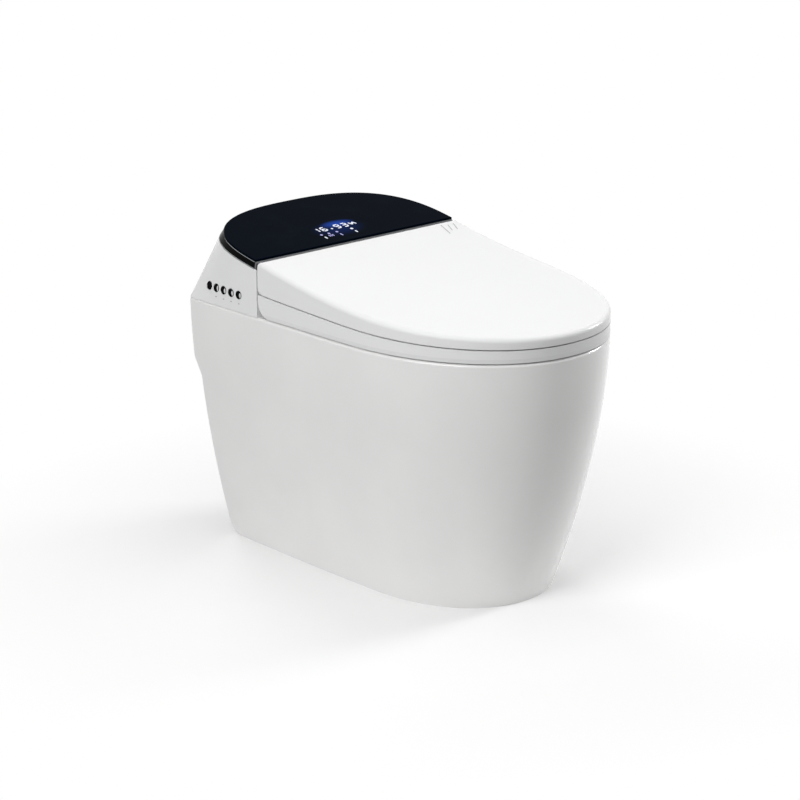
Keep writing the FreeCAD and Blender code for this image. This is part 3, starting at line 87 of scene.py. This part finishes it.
# The slope of the glass panel, from its front edge up to its rear edge
ACROSS = Vector((1.0, 0.0, 0.0))
PANEL_FRONT = Vector((0.0, 0.1490, 0.477))
PANEL_REAR = Vector((0.0, 0.3080, 0.508))
PANEL_UP = (PANEL_REAR - PANEL_FRONT).normalized()
PANEL_OUT = ACROSS.cross(PANEL_UP)

# Light of the display, and its glows: across and up the panel, half width and depth, and strength
DISPLAY_WHITE = (0.86, 0.90, 1.00, 1)
DISPLAY_LILAC = (0.42, 0.40, 0.80, 1)
DISPLAY_BLUE = (0.016, 0.066, 0.400, 1)
DISPLAY_UNLIT = (0.02, 0.02, 0.03, 1)
DIM_SHARE = 0.82
GLOWS = ((0.000, 0.042, 0.054, 0.028, 0.17), (0.010, 0.057, 0.036, 0.013, 0.80))
GLOW_FALL = 1.6

# Marks of the display: how far up the panel each row is, and how far across it each mark is
DIGIT_ROW = 0.0475
DOT_ROW = 0.0315
DASH_ROW = 0.0205
DIGITS = (("1", -0.0400), ("6", -0.0250), ("9", 0.0025), ("3", 0.0170))
DIGIT_STROKES = {"1": "bc", "3": "abgcd", "6": "afgedc", "9": "abcdfg"}
DIGIT_HEIGHT = 0.0120
DIGIT_WIDTH = 0.0080
STROKE_WIDTH = 0.0025
STROKE_GAP = 0.12
POINT_PLACE = (-0.0110, DIGIT_ROW - 0.0035)
POINT_RADIUS = 0.0019
ZIGZAG = ((0.027, 0.0045), (0.031, -0.0040), (0.035, 0.0045), (0.039, -0.0040))
PALE_SIZE = 0.0026
PALE_DOT = 0.018
PALE_DASHES = (-0.043, 0.018)
LILAC_SIZE = 0.0022
LILAC_DOTS = (-0.043, -0.028, -0.012)
LILAC_DASH = -0.012
DASH_HALF = 0.004
LEVEL_BARS = (-0.033, -0.0295, -0.026)
LEVEL_HEIGHT = 0.007
LEVEL_WIDTH = 0.0016
DISC_POINTS = 16

# Thin plates of print: how far they stand off their ground, and their thickness
PRINT_LIFT = 0.00012
PRINT_THICK = 0.00020

# The rim of the panel: depth and squareness of the glass and of the band that flares under it
PANEL_HALF = 0.199
GLASS_EDGE = (0.1620, 2.7)
BAND_EDGE = (0.1608, 3.05)

# Strips along the rim: from and to how far down it, and how far round it each one goes
# The first strip is a painted highlight: a thin metal strip where the glass's edge chamfer catches the
# light, tapering off where that highlight fades
HIGHLIGHT_STRIP_DROPS = (0.0025, 0.0034)
HIGHLIGHT_STRIP_END = 0.48
GASKET_DROPS = (0.0130, 0.0148)
GASKET_END = 0.62
STRIP_PROUD = 0.00025
STRIP_SUNK = 0.0008
STRIP_TIP = 0.15
TAPER_SHARE = 0.40
RIM_STEPS = 120
RIM_NUDGE = 0.01

# A painted glint: a pale round highlight painted on the front of each button but the rearmost, from its
# dish over its lip
GLINTED_BUTTONS = (2, 3, 4, 5)
GLINT_MIDDLE = 0.0055
GLINT_RADIUS = 0.0040
DISH_EDGE = 0.00465
LIP_RADII = (0.00495, 0.00610)
ARC_POINTS = 13

# Faint dashes: under the buttons with the painted glint, and on the lid, each with its place across,
# rear and front
DASH_WIDTH = 0.0012
FLANK_DASH_HALF = 0.002
FLANK_DASH_UP = 0.4030
LID_DASHES = ((0.158, 0.131, 0.100), (0.170, 0.128, 0.108), (0.182, 0.129, 0.109))
LID_DASH_LEAN = 0.009

# Where the lines that look for a surface start, outside the housing and above the lid
OUTSIDE = -0.30
ABOVE = 0.60
DOWNWARD = Vector((0.0, 0.0, -1.0))

# Softboxes: place, width and height, and power, all aimed at the middle of the pan
SOFTBOXES = {
    "overhead_softbox": ((-0.2, -0.4, 2.6), (2.4, 2.4), 31),
    "left_softbox": ((-2.3, -0.5, 1.9), (1.8, 1.4), 43),
    "right_softbox": ((2.5, -0.8, 1.3), (0.8, 0.8), 38),
    "back_softbox": ((0.9, 2.6, 1.5), (1.4, 1.0), 22),
}
LAMP_AIM = Vector((0.0, 0.0, 0.25))

# The floor and the white round it: the light that they give the object, and the reach of its shadow
FLOOR_HALF = 14.0
FLOOR_LIGHT = 0.35
SKY_LIGHT = 0.10
SHADOW_FADE = (0.26, 0.80)

# The colour sockets of a Mix node
MIX_FIRST = 6
MIX_SECOND = 7
MIX_RESULT = 2


class Wire:
    """One output of a node, with the arithmetic that a finish is written in."""

    def __init__(self, maker, socket):
        self.maker = maker
        self.socket = socket

    def math(self, operation, first, second):
        return self.maker.node("ShaderNodeMath", {"operation": operation}, {0: first, 1: second})

    def __add__(self, other):
        return self.math("ADD", self, other)

    def __radd__(self, other):
        return self.math("ADD", other, self)

    def __sub__(self, other):
        return self.math("SUBTRACT", self, other)

    def __rsub__(self, other):
        return self.math("SUBTRACT", other, self)

    def __mul__(self, other):
        return self.math("MULTIPLY", self, other)

    def __rmul__(self, other):
        return self.math("MULTIPLY", other, self)

    def __truediv__(self, other):
        return self.math("DIVIDE", self, other)

    def __rtruediv__(self, other):
        return self.math("DIVIDE", other, self)

    def __pow__(self, other):
        return self.math("POWER", self, other)

    def __rpow__(self, other):
        return self.math("POWER", other, self)

    def at_least(self, other):
        return self.math("MAXIMUM", self, other)


class Tree:
    """The nodes of a material or of the world."""

    def __init__(self, owner):
        owner.use_nodes = True
        self.tree = owner.node_tree
        self.tree.nodes.clear()

    def node(self, kind, settings=None, sockets=None, output=0):
        """A new node: its settings first, then the value or the link of each socket that is named."""
        made = self.tree.nodes.new(kind)
        for name, value in (settings or {}).items():
            setattr(made, name, value)
        for name, value in (sockets or {}).items():
            if isinstance(value, Wire):
                self.tree.links.new(value.socket, made.inputs[name])
            else:
                made.inputs[name].default_value = value
        return Wire(self, made.outputs[output]) if made.outputs else None

    def seen(self):
        """One where the camera, a gloss or a clear piece looks, and nought for plain light."""
        kinds = ("Is Camera Ray", "Is Glossy Ray", "Is Transmission Ray")
        camera, gloss, clear = [self.node("ShaderNodeLightPath", output=kind) for kind in kinds]
        return camera + gloss + clear


class Finish(Tree):
    """A material under construction, with the patterns that this object's finishes share."""

    def __init__(self, name):
        self.material = bpy.data.materials.new(name)
        super().__init__(self.material)
        self.place = self.node("ShaderNodeTexCoord", output="Object")

    def stretched(self, scale):
        return self.node("ShaderNodeVectorMath", {"operation": "MULTIPLY"}, {0: self.place, 1: scale})

    def across_and_back(self):
        return [self.node("ShaderNodeSeparateXYZ", None, {0: self.place}, axis) for axis in "XY"]

    def noise(self, scale, detail, vector=None):
        sockets = {"Vector": vector or self.place, "Scale": scale, "Detail": detail}
        return self.node("ShaderNodeTexNoise", None, sockets, "Fac")

    def contrast(self, value, low, high):
        sockets = {"Value": value, "From Min": low, "From Max": high}
        return self.node("ShaderNodeMapRange", {"clamp": True}, sockets)

    def mix(self, share, first, second):
        sockets = {"Factor": share, MIX_FIRST: first, MIX_SECOND: second}
        return self.node("ShaderNodeMix", {"data_type": "RGBA"}, sockets, MIX_RESULT)

    def bump(self, height, strength, depth):
        sockets = {"Height": height, "Strength": strength, "Distance": depth}
        return self.node("ShaderNodeBump", None, sockets)

    def surface(self, colour, roughness, normal, **constants):
        sockets = {"Base Color": colour, "Roughness": roughness, "Normal": normal}
        sockets.update({name.replace("_", " "): value for name, value in constants.items()})
        return self.shown(self.node("ShaderNodeBsdfPrincipled", None, sockets))

    def shown(self, shader):
        self.node("ShaderNodeOutputMaterial", None, {"Surface": shader})
        return self.material


def glazed_ceramic():
    glaze = Finish("glazed_ceramic")
    pooling = glaze.noise(scale=9, detail=3)
    orange_peel = glaze.noise(scale=140, detail=2)
    pinholes = glaze.contrast(glaze.noise(scale=900, detail=1), low=0.70, high=0.80)
    colour = glaze.mix(glaze.contrast(pooling, low=0.35, high=0.75), *GLAZE)
    roughness = 0.10 + 0.08 * pooling + 0.05 * pinholes
    relief = glaze.bump(orange_peel - 0.15 * pinholes, strength=0.10, depth=0.0008)
    return glaze.surface(colour, roughness, relief, Coat_Weight=0.35, Coat_Roughness=0.04)


def white_gloss():
    gloss = Finish("white_gloss")
    flow = gloss.noise(scale=6, detail=3)
    orange_peel = gloss.noise(scale=260, detail=2)
    haze = gloss.contrast(gloss.noise(scale=34, detail=5), low=0.45, high=0.80)
    colour = gloss.mix(flow, *GLOSS)
    roughness = 0.16 + 0.05 * haze
    relief = gloss.bump(orange_peel, strength=0.06, depth=0.0005)
    return gloss.surface(colour, roughness, relief, Specular_IOR_Level=0.15)


def white_liner():
    liner = Finish("white_liner")
    spark = liner.noise(scale=700, detail=4)
    flow = liner.noise(scale=8, detail=3)
    colour = liner.mix(flow, *LINER)
    relief = liner.bump(spark, strength=0.18, depth=0.0004)
    return liner.surface(colour, 0.32 + 0.14 * spark, relief)


def display_glow(glass):
    """The blue light behind the glass, strongest in the middle of each glow."""
    across, back = glass.across_and_back()
    lights = []
    for aside, up, half_width, half_depth, strength in GLOWS:
        middle = on_panel(aside, up)
        side = (across - middle.x) / half_width
        rise = (back - middle.y) / half_depth
        lights.append(strength * (1.0 - side * side - rise * rise).at_least(0.0) ** GLOW_FALL)
    wide, close = lights
    return wide + close


def black_glass():
    glass = Finish("black_glass")
    smudge = glass.contrast(glass.noise(scale=22, detail=5), low=0.50, high=0.85)
    colour = glass.mix(smudge, *GLASS)
    roughness = 0.035 + 0.05 * smudge
    relief = glass.bump(glass.noise(scale=60, detail=1), strength=0.02, depth=0.0003)
    lit = glass.mix(display_glow(glass), BLACK, DISPLAY_BLUE)
    return glass.surface(
        colour, roughness, relief, Specular_IOR_Level=0.003, Emission_Color=lit, Emission_Strength=1.0)


def black_bezel():
    bezel = Finish("black_bezel")
    dust = bezel.contrast(bezel.noise(scale=420, detail=3), low=0.60, high=0.85)
    colour = bezel.mix(dust, *BEZEL)
    relief = bezel.bump(bezel.noise(scale=300, detail=2), strength=0.05, depth=0.0003)
    return bezel.surface(colour, 0.10 + 0.12 * dust, relief, Specular_IOR_Level=0.015)


def brushed_metal(name, light, dark, grain, roughness):
    metal = Finish(name)
    lines = metal.noise(scale=1.0, detail=3, vector=metal.stretched(grain))
    tone = metal.noise(scale=30, detail=2)
    colour = metal.mix(0.5 * lines + 0.5 * tone, light, dark)
    relief = metal.bump(lines, strength=0.12, depth=0.0002)
    return metal.surface(colour, roughness + 0.12 * lines, relief, Metallic=1.0)


def moulded_plastic(name, light, dark, roughness, fineness):
    plastic = Finish(name)
    spark = plastic.noise(scale=fineness, detail=3)
    flow = plastic.noise(scale=14, detail=3)
    colour = plastic.mix(flow, light, dark)
    relief = plastic.bump(spark, strength=0.25, depth=0.0004)
    return plastic.surface(colour, roughness + 0.12 * spark, relief)


def soft_rubber():
    rubber = Finish("rubber")
    bloom = rubber.noise(scale=60, detail=4)
    skin = rubber.noise(scale=900, detail=3)
    colour = rubber.mix(bloom, *RUBBER)
    relief = rubber.bump(skin, strength=0.35, depth=0.0004)
    return rubber.surface(colour, 0.62 + 0.2 * bloom, relief)


def board_green():
    board = Finish("board_green")
    layout = {"Vector": board.place, "Scale": 95.0, "Mortar Size": 0.03}
    layout.update({"Color1": BLACK, "Color2": BLACK, "Mortar": WHITE})
    tracks = board.node("ShaderNodeTexBrick", {"offset": 0.5, "squash": 1.0}, layout, "Fac")
    varnish = board.noise(scale=40, detail=3)
    colour = board.mix(tracks, *BOARD)
    relief = board.bump(tracks, strength=0.3, depth=0.0002)
    return board.surface(colour, 0.28 + 0.16 * varnish, relief)


def heater_film():
    film = Finish("heater_film")
    rings = {"wave_type": "RINGS", "rings_direction": "Z"}
    layout = {"Vector": film.place, "Scale": 38.0, "Distortion": 0.4}
    wave = film.node("ShaderNodeTexWave", rings, layout, "Fac")
    track = film.contrast(wave, low=0.70, high=0.80)
    colour = film.mix(track, *HEATER)
    relief = film.bump(track, strength=0.4, depth=0.0002)
    return film.surface(colour, 0.34 - 0.1 * track, relief)


def lit_mark(name, colour):
    mark = Finish(name)
    cells = mark.noise(scale=900, detail=2)
    dimmed = [DIM_SHARE * part for part in colour[:3]] + [1]
    lit = mark.mix(cells, colour, dimmed)
    roughness = 0.25 + 0.1 * cells
    relief = mark.bump(cells, strength=0.05, depth=0.0001)
    return mark.surface(DISPLAY_UNLIT, roughness, relief, Emission_Color=lit, Emission_Strength=1.0)


# Worn ink: print for the faint dashes, and a painted glint for the pale marks on the buttons
def worn_print_and_painted_glint(name, fresh, worn):
    ink = Finish(name)
    wear = ink.contrast(ink.noise(scale=700, detail=4), low=0.45, high=0.75)
    colour = ink.mix(wear, fresh, worn)
    relief = ink.bump(wear, strength=0.1, depth=0.00005)
    return ink.surface(colour, 0.35 + 0.2 * wear, relief)


def dress(node, finish):
    if not node.material_slots:
        node.data.materials.append(finish)
    for place in node.material_slots:
        place.material = finish


def dress_nodes():
    """Each node takes the finish of its slot, and the trim in front of the glass a darker chrome."""
    finishes = {
        "glazed_ceramic": glazed_ceramic(),
        "white_gloss": white_gloss(),
        "white_liner": white_liner(),
        "black_glass": black_glass(),
        "black_bezel": black_bezel(),
        "rubber": soft_rubber(),
        "board_green": board_green(),
        "heater_film": heater_film(),
    }
    finishes.update({name: brushed_metal(name, *look) for name, look in METALS.items()})
    finishes.update({name: moulded_plastic(name, *look) for name, look in PLASTICS.items()})
    for part in frame["record"]["subparts"]:
        dress(frame["nodes"][part["node"]], finishes[part["material_slot"]])
    dress(frame["nodes"]["panel_front_trim"], finishes["smoked_chrome"])
    return finishes


def linked(name, shape, material, body):
    """The finished piece of a mesh, riding on its body."""
    bmesh.ops.recalc_face_normals(shape, faces=shape.faces)
    mesh = bpy.data.meshes.new(name)
    shape.to_mesh(mesh)
    shape.free()
    mesh.materials.append(material)
    piece = bpy.data.objects.new(name, mesh)
    bpy.context.scene.collection.objects.link(piece)
    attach(piece, body)


def thin_plates(outlines, place):
    """Thin plates, one for each outline, on the surface that place gives."""
    shape = bmesh.new()
    for outline in outlines:
        low = [shape.verts.new(place(point, PRINT_LIFT)) for point in outline]
        high = [shape.verts.new(place(point, PRINT_LIFT + PRINT_THICK)) for point in outline]
        shape.faces.new(reversed(low))
        shape.faces.new(high)
        for k, point in enumerate(low):
            after = (k + 1) % len(low)
            shape.faces.new((point, low[after], high[after], high[k]))
    return shape


def stroke_outline(start, end, width):
    """A bar with pointed ends from start to end, a little short of both."""
    first = Vector(start)
    last = Vector(end)
    along = (last - first).normalized()
    aside = Vector((-along.y, along.x)) * width / 2
    first = first + along * width * STROKE_GAP
    last = last - along * width * STROKE_GAP
    shoulder = along * width / 2
    return [first, first + shoulder + aside, last - shoulder + aside,
            last, last - shoulder - aside, first + shoulder - aside]


def disc_outline(middle, radius):
    turns = [2 * math.pi * k / DISC_POINTS for k in range(DISC_POINTS)]
    return [Vector(middle) + radius * Vector((math.cos(turn), math.sin(turn))) for turn in turns]


def shifted(outline, across, up):
    return [point + Vector((across, up)) for point in outline]


def on_panel(across, up, out=0.0):
    """A point on the glass: across it, up its slope from the front edge, and out of its face."""
    return PANEL_FRONT + across * ACROSS + up * PANEL_UP + out * PANEL_OUT


def stroke_ends(letter):
    """The two ends of one stroke of a digit, about the digit's middle."""
    side = DIGIT_WIDTH / 2
    rise = DIGIT_HEIGHT / 2
    ends = {
        "a": ((-side, rise), (side, rise)),
        "b": ((side, rise), (side, 0.0)),
        "c": ((side, 0.0), (side, -rise)),
        "d": ((-side, -rise), (side, -rise)),
        "e": ((-side, 0.0), (-side, -rise)),
        "f": ((-side, rise), (-side, 0.0)),
        "g": ((-side, 0.0), (side, 0.0)),
    }
    return ends[letter]


def digit_outlines(digit, across):
    strokes = [stroke_outline(*stroke_ends(letter), STROKE_WIDTH) for letter in DIGIT_STROKES[digit]]
    return [shifted(stroke, across, DIGIT_ROW) for stroke in strokes]


def dash_outline(across, width):
    return stroke_outline((across, DASH_ROW - DASH_HALF), (across, DASH_ROW + DASH_HALF), width)


def panel_marks(name, outlines, material):
    shape = thin_plates(outlines, lambda point, out: on_panel(point.x, point.y, out))
    linked(name, shape, material, "base")


def display():
    """Four digits, a point and a zigzag, with two rows of small plain marks under them."""
    top = []
    for digit, across in DIGITS:
        top += digit_outlines(digit, across)
    top.append(disc_outline(POINT_PLACE, POINT_RADIUS))
    for start, end in zip(ZIGZAG, ZIGZAG[1:]):
        top.append(shifted(stroke_outline(start, end, STROKE_WIDTH), 0.0, DIGIT_ROW))
    panel_marks("display_digits", top, lit_mark("display_white", DISPLAY_WHITE))
    pale = [disc_outline((PALE_DOT, DOT_ROW), PALE_SIZE)]
    pale += [dash_outline(across, PALE_SIZE) for across in PALE_DASHES]
    panel_marks("display_marks", pale, lit_mark("display_pale", DISPLAY_WHITE))
    lilac = [disc_outline((across, DOT_ROW), LILAC_SIZE) for across in LILAC_DOTS]
    lilac.append(dash_outline(LILAC_DASH, LILAC_SIZE))
    for across in LEVEL_BARS:
        lilac.append(stroke_outline((across, DASH_ROW), (across, DASH_ROW + LEVEL_HEIGHT), LEVEL_WIDTH))
    panel_marks("display_level", lilac, lit_mark("display_lilac", DISPLAY_LILAC))


def rim_spot(turn, edge):
    depth, squareness = edge
    turn = min(max(turn, 0.0), math.pi)
    across = math.copysign(abs(math.cos(turn)) ** (2 / squareness), math.cos(turn)) * PANEL_HALF
    return Vector((across, math.sin(turn) ** (2 / squareness) * depth))


def rim_point(turn, edge, drop, out):
    """A point on the rim: round it by turn, down from the glass by drop, and out from it."""
    along = (rim_spot(turn + RIM_NUDGE, edge) - rim_spot(turn - RIM_NUDGE, edge)).normalized()
    spot = rim_spot(turn, edge) + out * Vector((along.y, -along.x))
    return on_panel(spot.x, spot.y, -drop)


def rim_strip(shape, edge, drops, turns):
    """A thin strip along the rim, let into it, from its full end at the front to its narrow end."""
    high, low = drops
    middle = (high + low) / 2
    corners = ((high, STRIP_PROUD), (low, STRIP_PROUD), (low, -STRIP_SUNK), (high, -STRIP_SUNK))
    rings = []
    for step in range(RIM_STEPS + 1):
        share = step / RIM_STEPS
        turn = turns[0] + (turns[1] - turns[0]) * share
        width = min(1.0, STRIP_TIP + (1.0 - STRIP_TIP) * (1.0 - share) / TAPER_SHARE)
        ring = [rim_point(turn, edge, middle + (drop - middle) * width, out) for drop, out in corners]
        rings.append([shape.verts.new(point) for point in ring])
    for ring, after in zip(rings, rings[1:]):
        for k in range(len(corners)):
            shape.faces.new((ring[k], ring[k - 1], after[k - 1], after[k]))
    shape.faces.new(rings[0])
    shape.faces.new(reversed(rings[-1]))


def rim_strips(edge, drops, end):
    """The same strip on both flanks of the panel."""
    shape = bmesh.new()
    for turns in ((0.0, end), (math.pi, math.pi - end)):
        rim_strip(shape, edge, drops, turns)
    return shape


def panel_strips(finishes):
    """A metal strip under the glass that stands in for the highlight on its edge chamfer, a painted
    highlight, and a grey gasket where the band meets the housing.
    """
    line = rim_strips(GLASS_EDGE, HIGHLIGHT_STRIP_DROPS, HIGHLIGHT_STRIP_END)
    linked("glass_edge_highlight_strip", line, finishes["edge_metal"], "base")
    gasket = rim_strips(BAND_EDGE, GASKET_DROPS, GASKET_END)
    linked("panel_gasket", gasket, finishes["grey_plastic"], "base")


def arc(middle, radius, reach):
    """Points round an arc to both sides of the front, or of the rear where the radius is negative."""
    turns = [reach * (2 * k / (ARC_POINTS - 1) - 1) for k in range(ARC_POINTS)]
    return [Vector((middle - radius * math.cos(turn), abs(radius) * math.sin(turn))) for turn in turns]


def glint_reach(radius):
    """The turn at which a circle round the button's middle crosses the edge of its painted glint."""
    side = radius * radius - GLINT_RADIUS * GLINT_RADIUS + GLINT_MIDDLE * GLINT_MIDDLE
    return math.acos(side / (2 * radius * GLINT_MIDDLE))


def glint_outlines():
    """The painted glint in the dish, and the rest of it on the lip."""
    dish = arc(0.0, DISH_EDGE, glint_reach(DISH_EDGE))
    tip = dish[-1]
    inner = arc(-GLINT_MIDDLE, -GLINT_RADIUS, math.atan2(tip.y, tip.x + GLINT_MIDDLE))
    near, far = [arc(0.0, radius, glint_reach(radius)) for radius in LIP_RADII]
    return [dish + inner[-2:0:-1], far + near[::-1]]


def skin_of(node):
    mesh = frame["nodes"][node].data
    corners = [point.co for point in mesh.vertices]
    return BVHTree.FromPolygons(corners, [face.vertices for face in mesh.polygons])


def landed(skin, start, along, out):
    """The point where a line from start meets a skin, and a little out of it."""
    return skin.ray_cast(start, along)[0] - out * along


def button_middle(number):
    low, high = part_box("side_button_%d" % number)
    return (Vector(low) + Vector(high)) / 2


# A painted glint, a pale highlight, laid on the face of one button
def painted_button_glint(number, material):
    cap = skin_of("side_button_%d" % number)
    middle = button_middle(number)

    def on_cap(point, out):
        return landed(cap, Vector((OUTSIDE, middle.y + point.x, middle.z + point.y)), ACROSS, out)

    shape = thin_plates(glint_outlines(), on_cap)
    linked("button_mark_%d" % number, shape, material, "button_%d" % number)


def flank_dashes(material):
    """Faint dashes on the housing, one under each button with a painted glint."""
    flank = skin_of("rear_housing")

    def on_flank(point, out):
        return landed(flank, Vector((OUTSIDE, point.x, point.y)), ACROSS, out)

    dashes = []
    for number in GLINTED_BUTTONS:
        back = button_middle(number).y
        ends = [(back + reach, FLANK_DASH_UP) for reach in (FLANK_DASH_HALF, -FLANK_DASH_HALF)]
        dashes.append(stroke_outline(*ends, DASH_WIDTH))
    linked("flank_dashes", thin_plates(dashes, on_flank), material, "base")


def lid_dashes(material):
    """Faint dashes at the far rear corner of the lid."""
    lid = skin_of("lid_shell")

    def on_lid(point, out):
        return landed(lid, Vector((point.x, point.y, ABOVE)), DOWNWARD, out)

    dashes = []
    for across, rear, front in LID_DASHES:
        dashes.append(stroke_outline((across, rear), (across - LID_DASH_LEAN, front), DASH_WIDTH))
    linked("lid_dashes", thin_plates(dashes, on_lid), material, "lid")


def camera():
    lens = bpy.data.cameras.new("camera")
    lens.lens = CAMERA_LENS
    lens.sensor_width = CAMERA_SENSOR
    lens.clip_end = CAMERA_REACH
    eye = bpy.data.objects.new("camera", lens)
    eye.location = CAMERA_PLACE
    eye.rotation_euler = (math.radians(CAMERA_TILT), 0.0, math.radians(CAMERA_TURN))
    bpy.context.scene.collection.objects.link(eye)
    bpy.context.scene.camera = eye


def softbox(name, place, size, power):
    lamp = bpy.data.lights.new(name, "AREA")
    lamp.shape = "RECTANGLE"
    lamp.size, lamp.size_y = size
    lamp.energy = power
    head = bpy.data.objects.new(name, lamp)
    head.location = place
    head.rotation_euler = (LAMP_AIM - Vector(place)).to_track_quat("-Z", "Y").to_euler()
    bpy.context.scene.collection.objects.link(head)


def floor():
    """A wide white floor, lit of itself away from the toilet so that its shadow stays close by."""
    pale = Finish("studio_floor")
    across, back = pale.across_and_back()
    reach = (across * across + back * back) ** 0.5
    tone = pale.mix(pale.noise(scale=8, detail=3), *FLOOR_TONES)
    near = pale.node("ShaderNodeBsdfDiffuse", None, {"Color": tone})
    dim = pale.node("ShaderNodeEmission", None, {"Color": WHITE, "Strength": FLOOR_LIGHT})
    white = pale.node("ShaderNodeEmission", None, {"Color": WHITE, "Strength": 1.0})
    far = pale.node("ShaderNodeMixShader", None, {0: pale.seen(), 1: dim, 2: white})
    fade = pale.contrast(reach, *SHADOW_FADE)
    material = pale.shown(pale.node("ShaderNodeMixShader", None, {0: fade, 1: near, 2: far}))
    corners = [(-FLOOR_HALF, -FLOOR_HALF, 0.0), (FLOOR_HALF, -FLOOR_HALF, 0.0),
               (FLOOR_HALF, FLOOR_HALF, 0.0), (-FLOOR_HALF, FLOOR_HALF, 0.0)]
    mesh = bpy.data.meshes.new("studio_floor")
    mesh.from_pydata(corners, [], [range(len(corners))])
    mesh.materials.append(material)
    ground = bpy.data.objects.new("studio_floor", mesh)
    bpy.context.scene.collection.objects.link(ground)


def sky():
    """A white studio to look at, which lights the object only a little."""
    world = bpy.data.worlds.new("studio")
    air = Tree(world)
    dim = air.node("ShaderNodeBackground", None, {"Color": WHITE, "Strength": SKY_LIGHT})
    white = air.node("ShaderNodeBackground", None, {"Color": WHITE, "Strength": 1.0})
    shown = air.node("ShaderNodeMixShader", None, {0: air.seen(), 1: dim, 2: white})
    air.node("ShaderNodeOutputWorld", None, {"Surface": shown})
    bpy.context.scene.world = world


camera()
finishes = dress_nodes()
display()
panel_strips(finishes)
# The pale marks on the front buttons are a painted glint, a highlight painted on as print
button_print = worn_print_and_painted_glint("button_print", *BUTTON_GLINT_TONES)
for number in GLINTED_BUTTONS:
    painted_button_glint(number, button_print)
dash_print = worn_print_and_painted_glint("legend_print", *DASH_PRINT)
flank_dashes(dash_print)
lid_dashes(dash_print)
for name, setting in SOFTBOXES.items():
    softbox(name, *setting)
floor()
sky()
bpy.context.scene.view_settings.view_transform = "Standard"
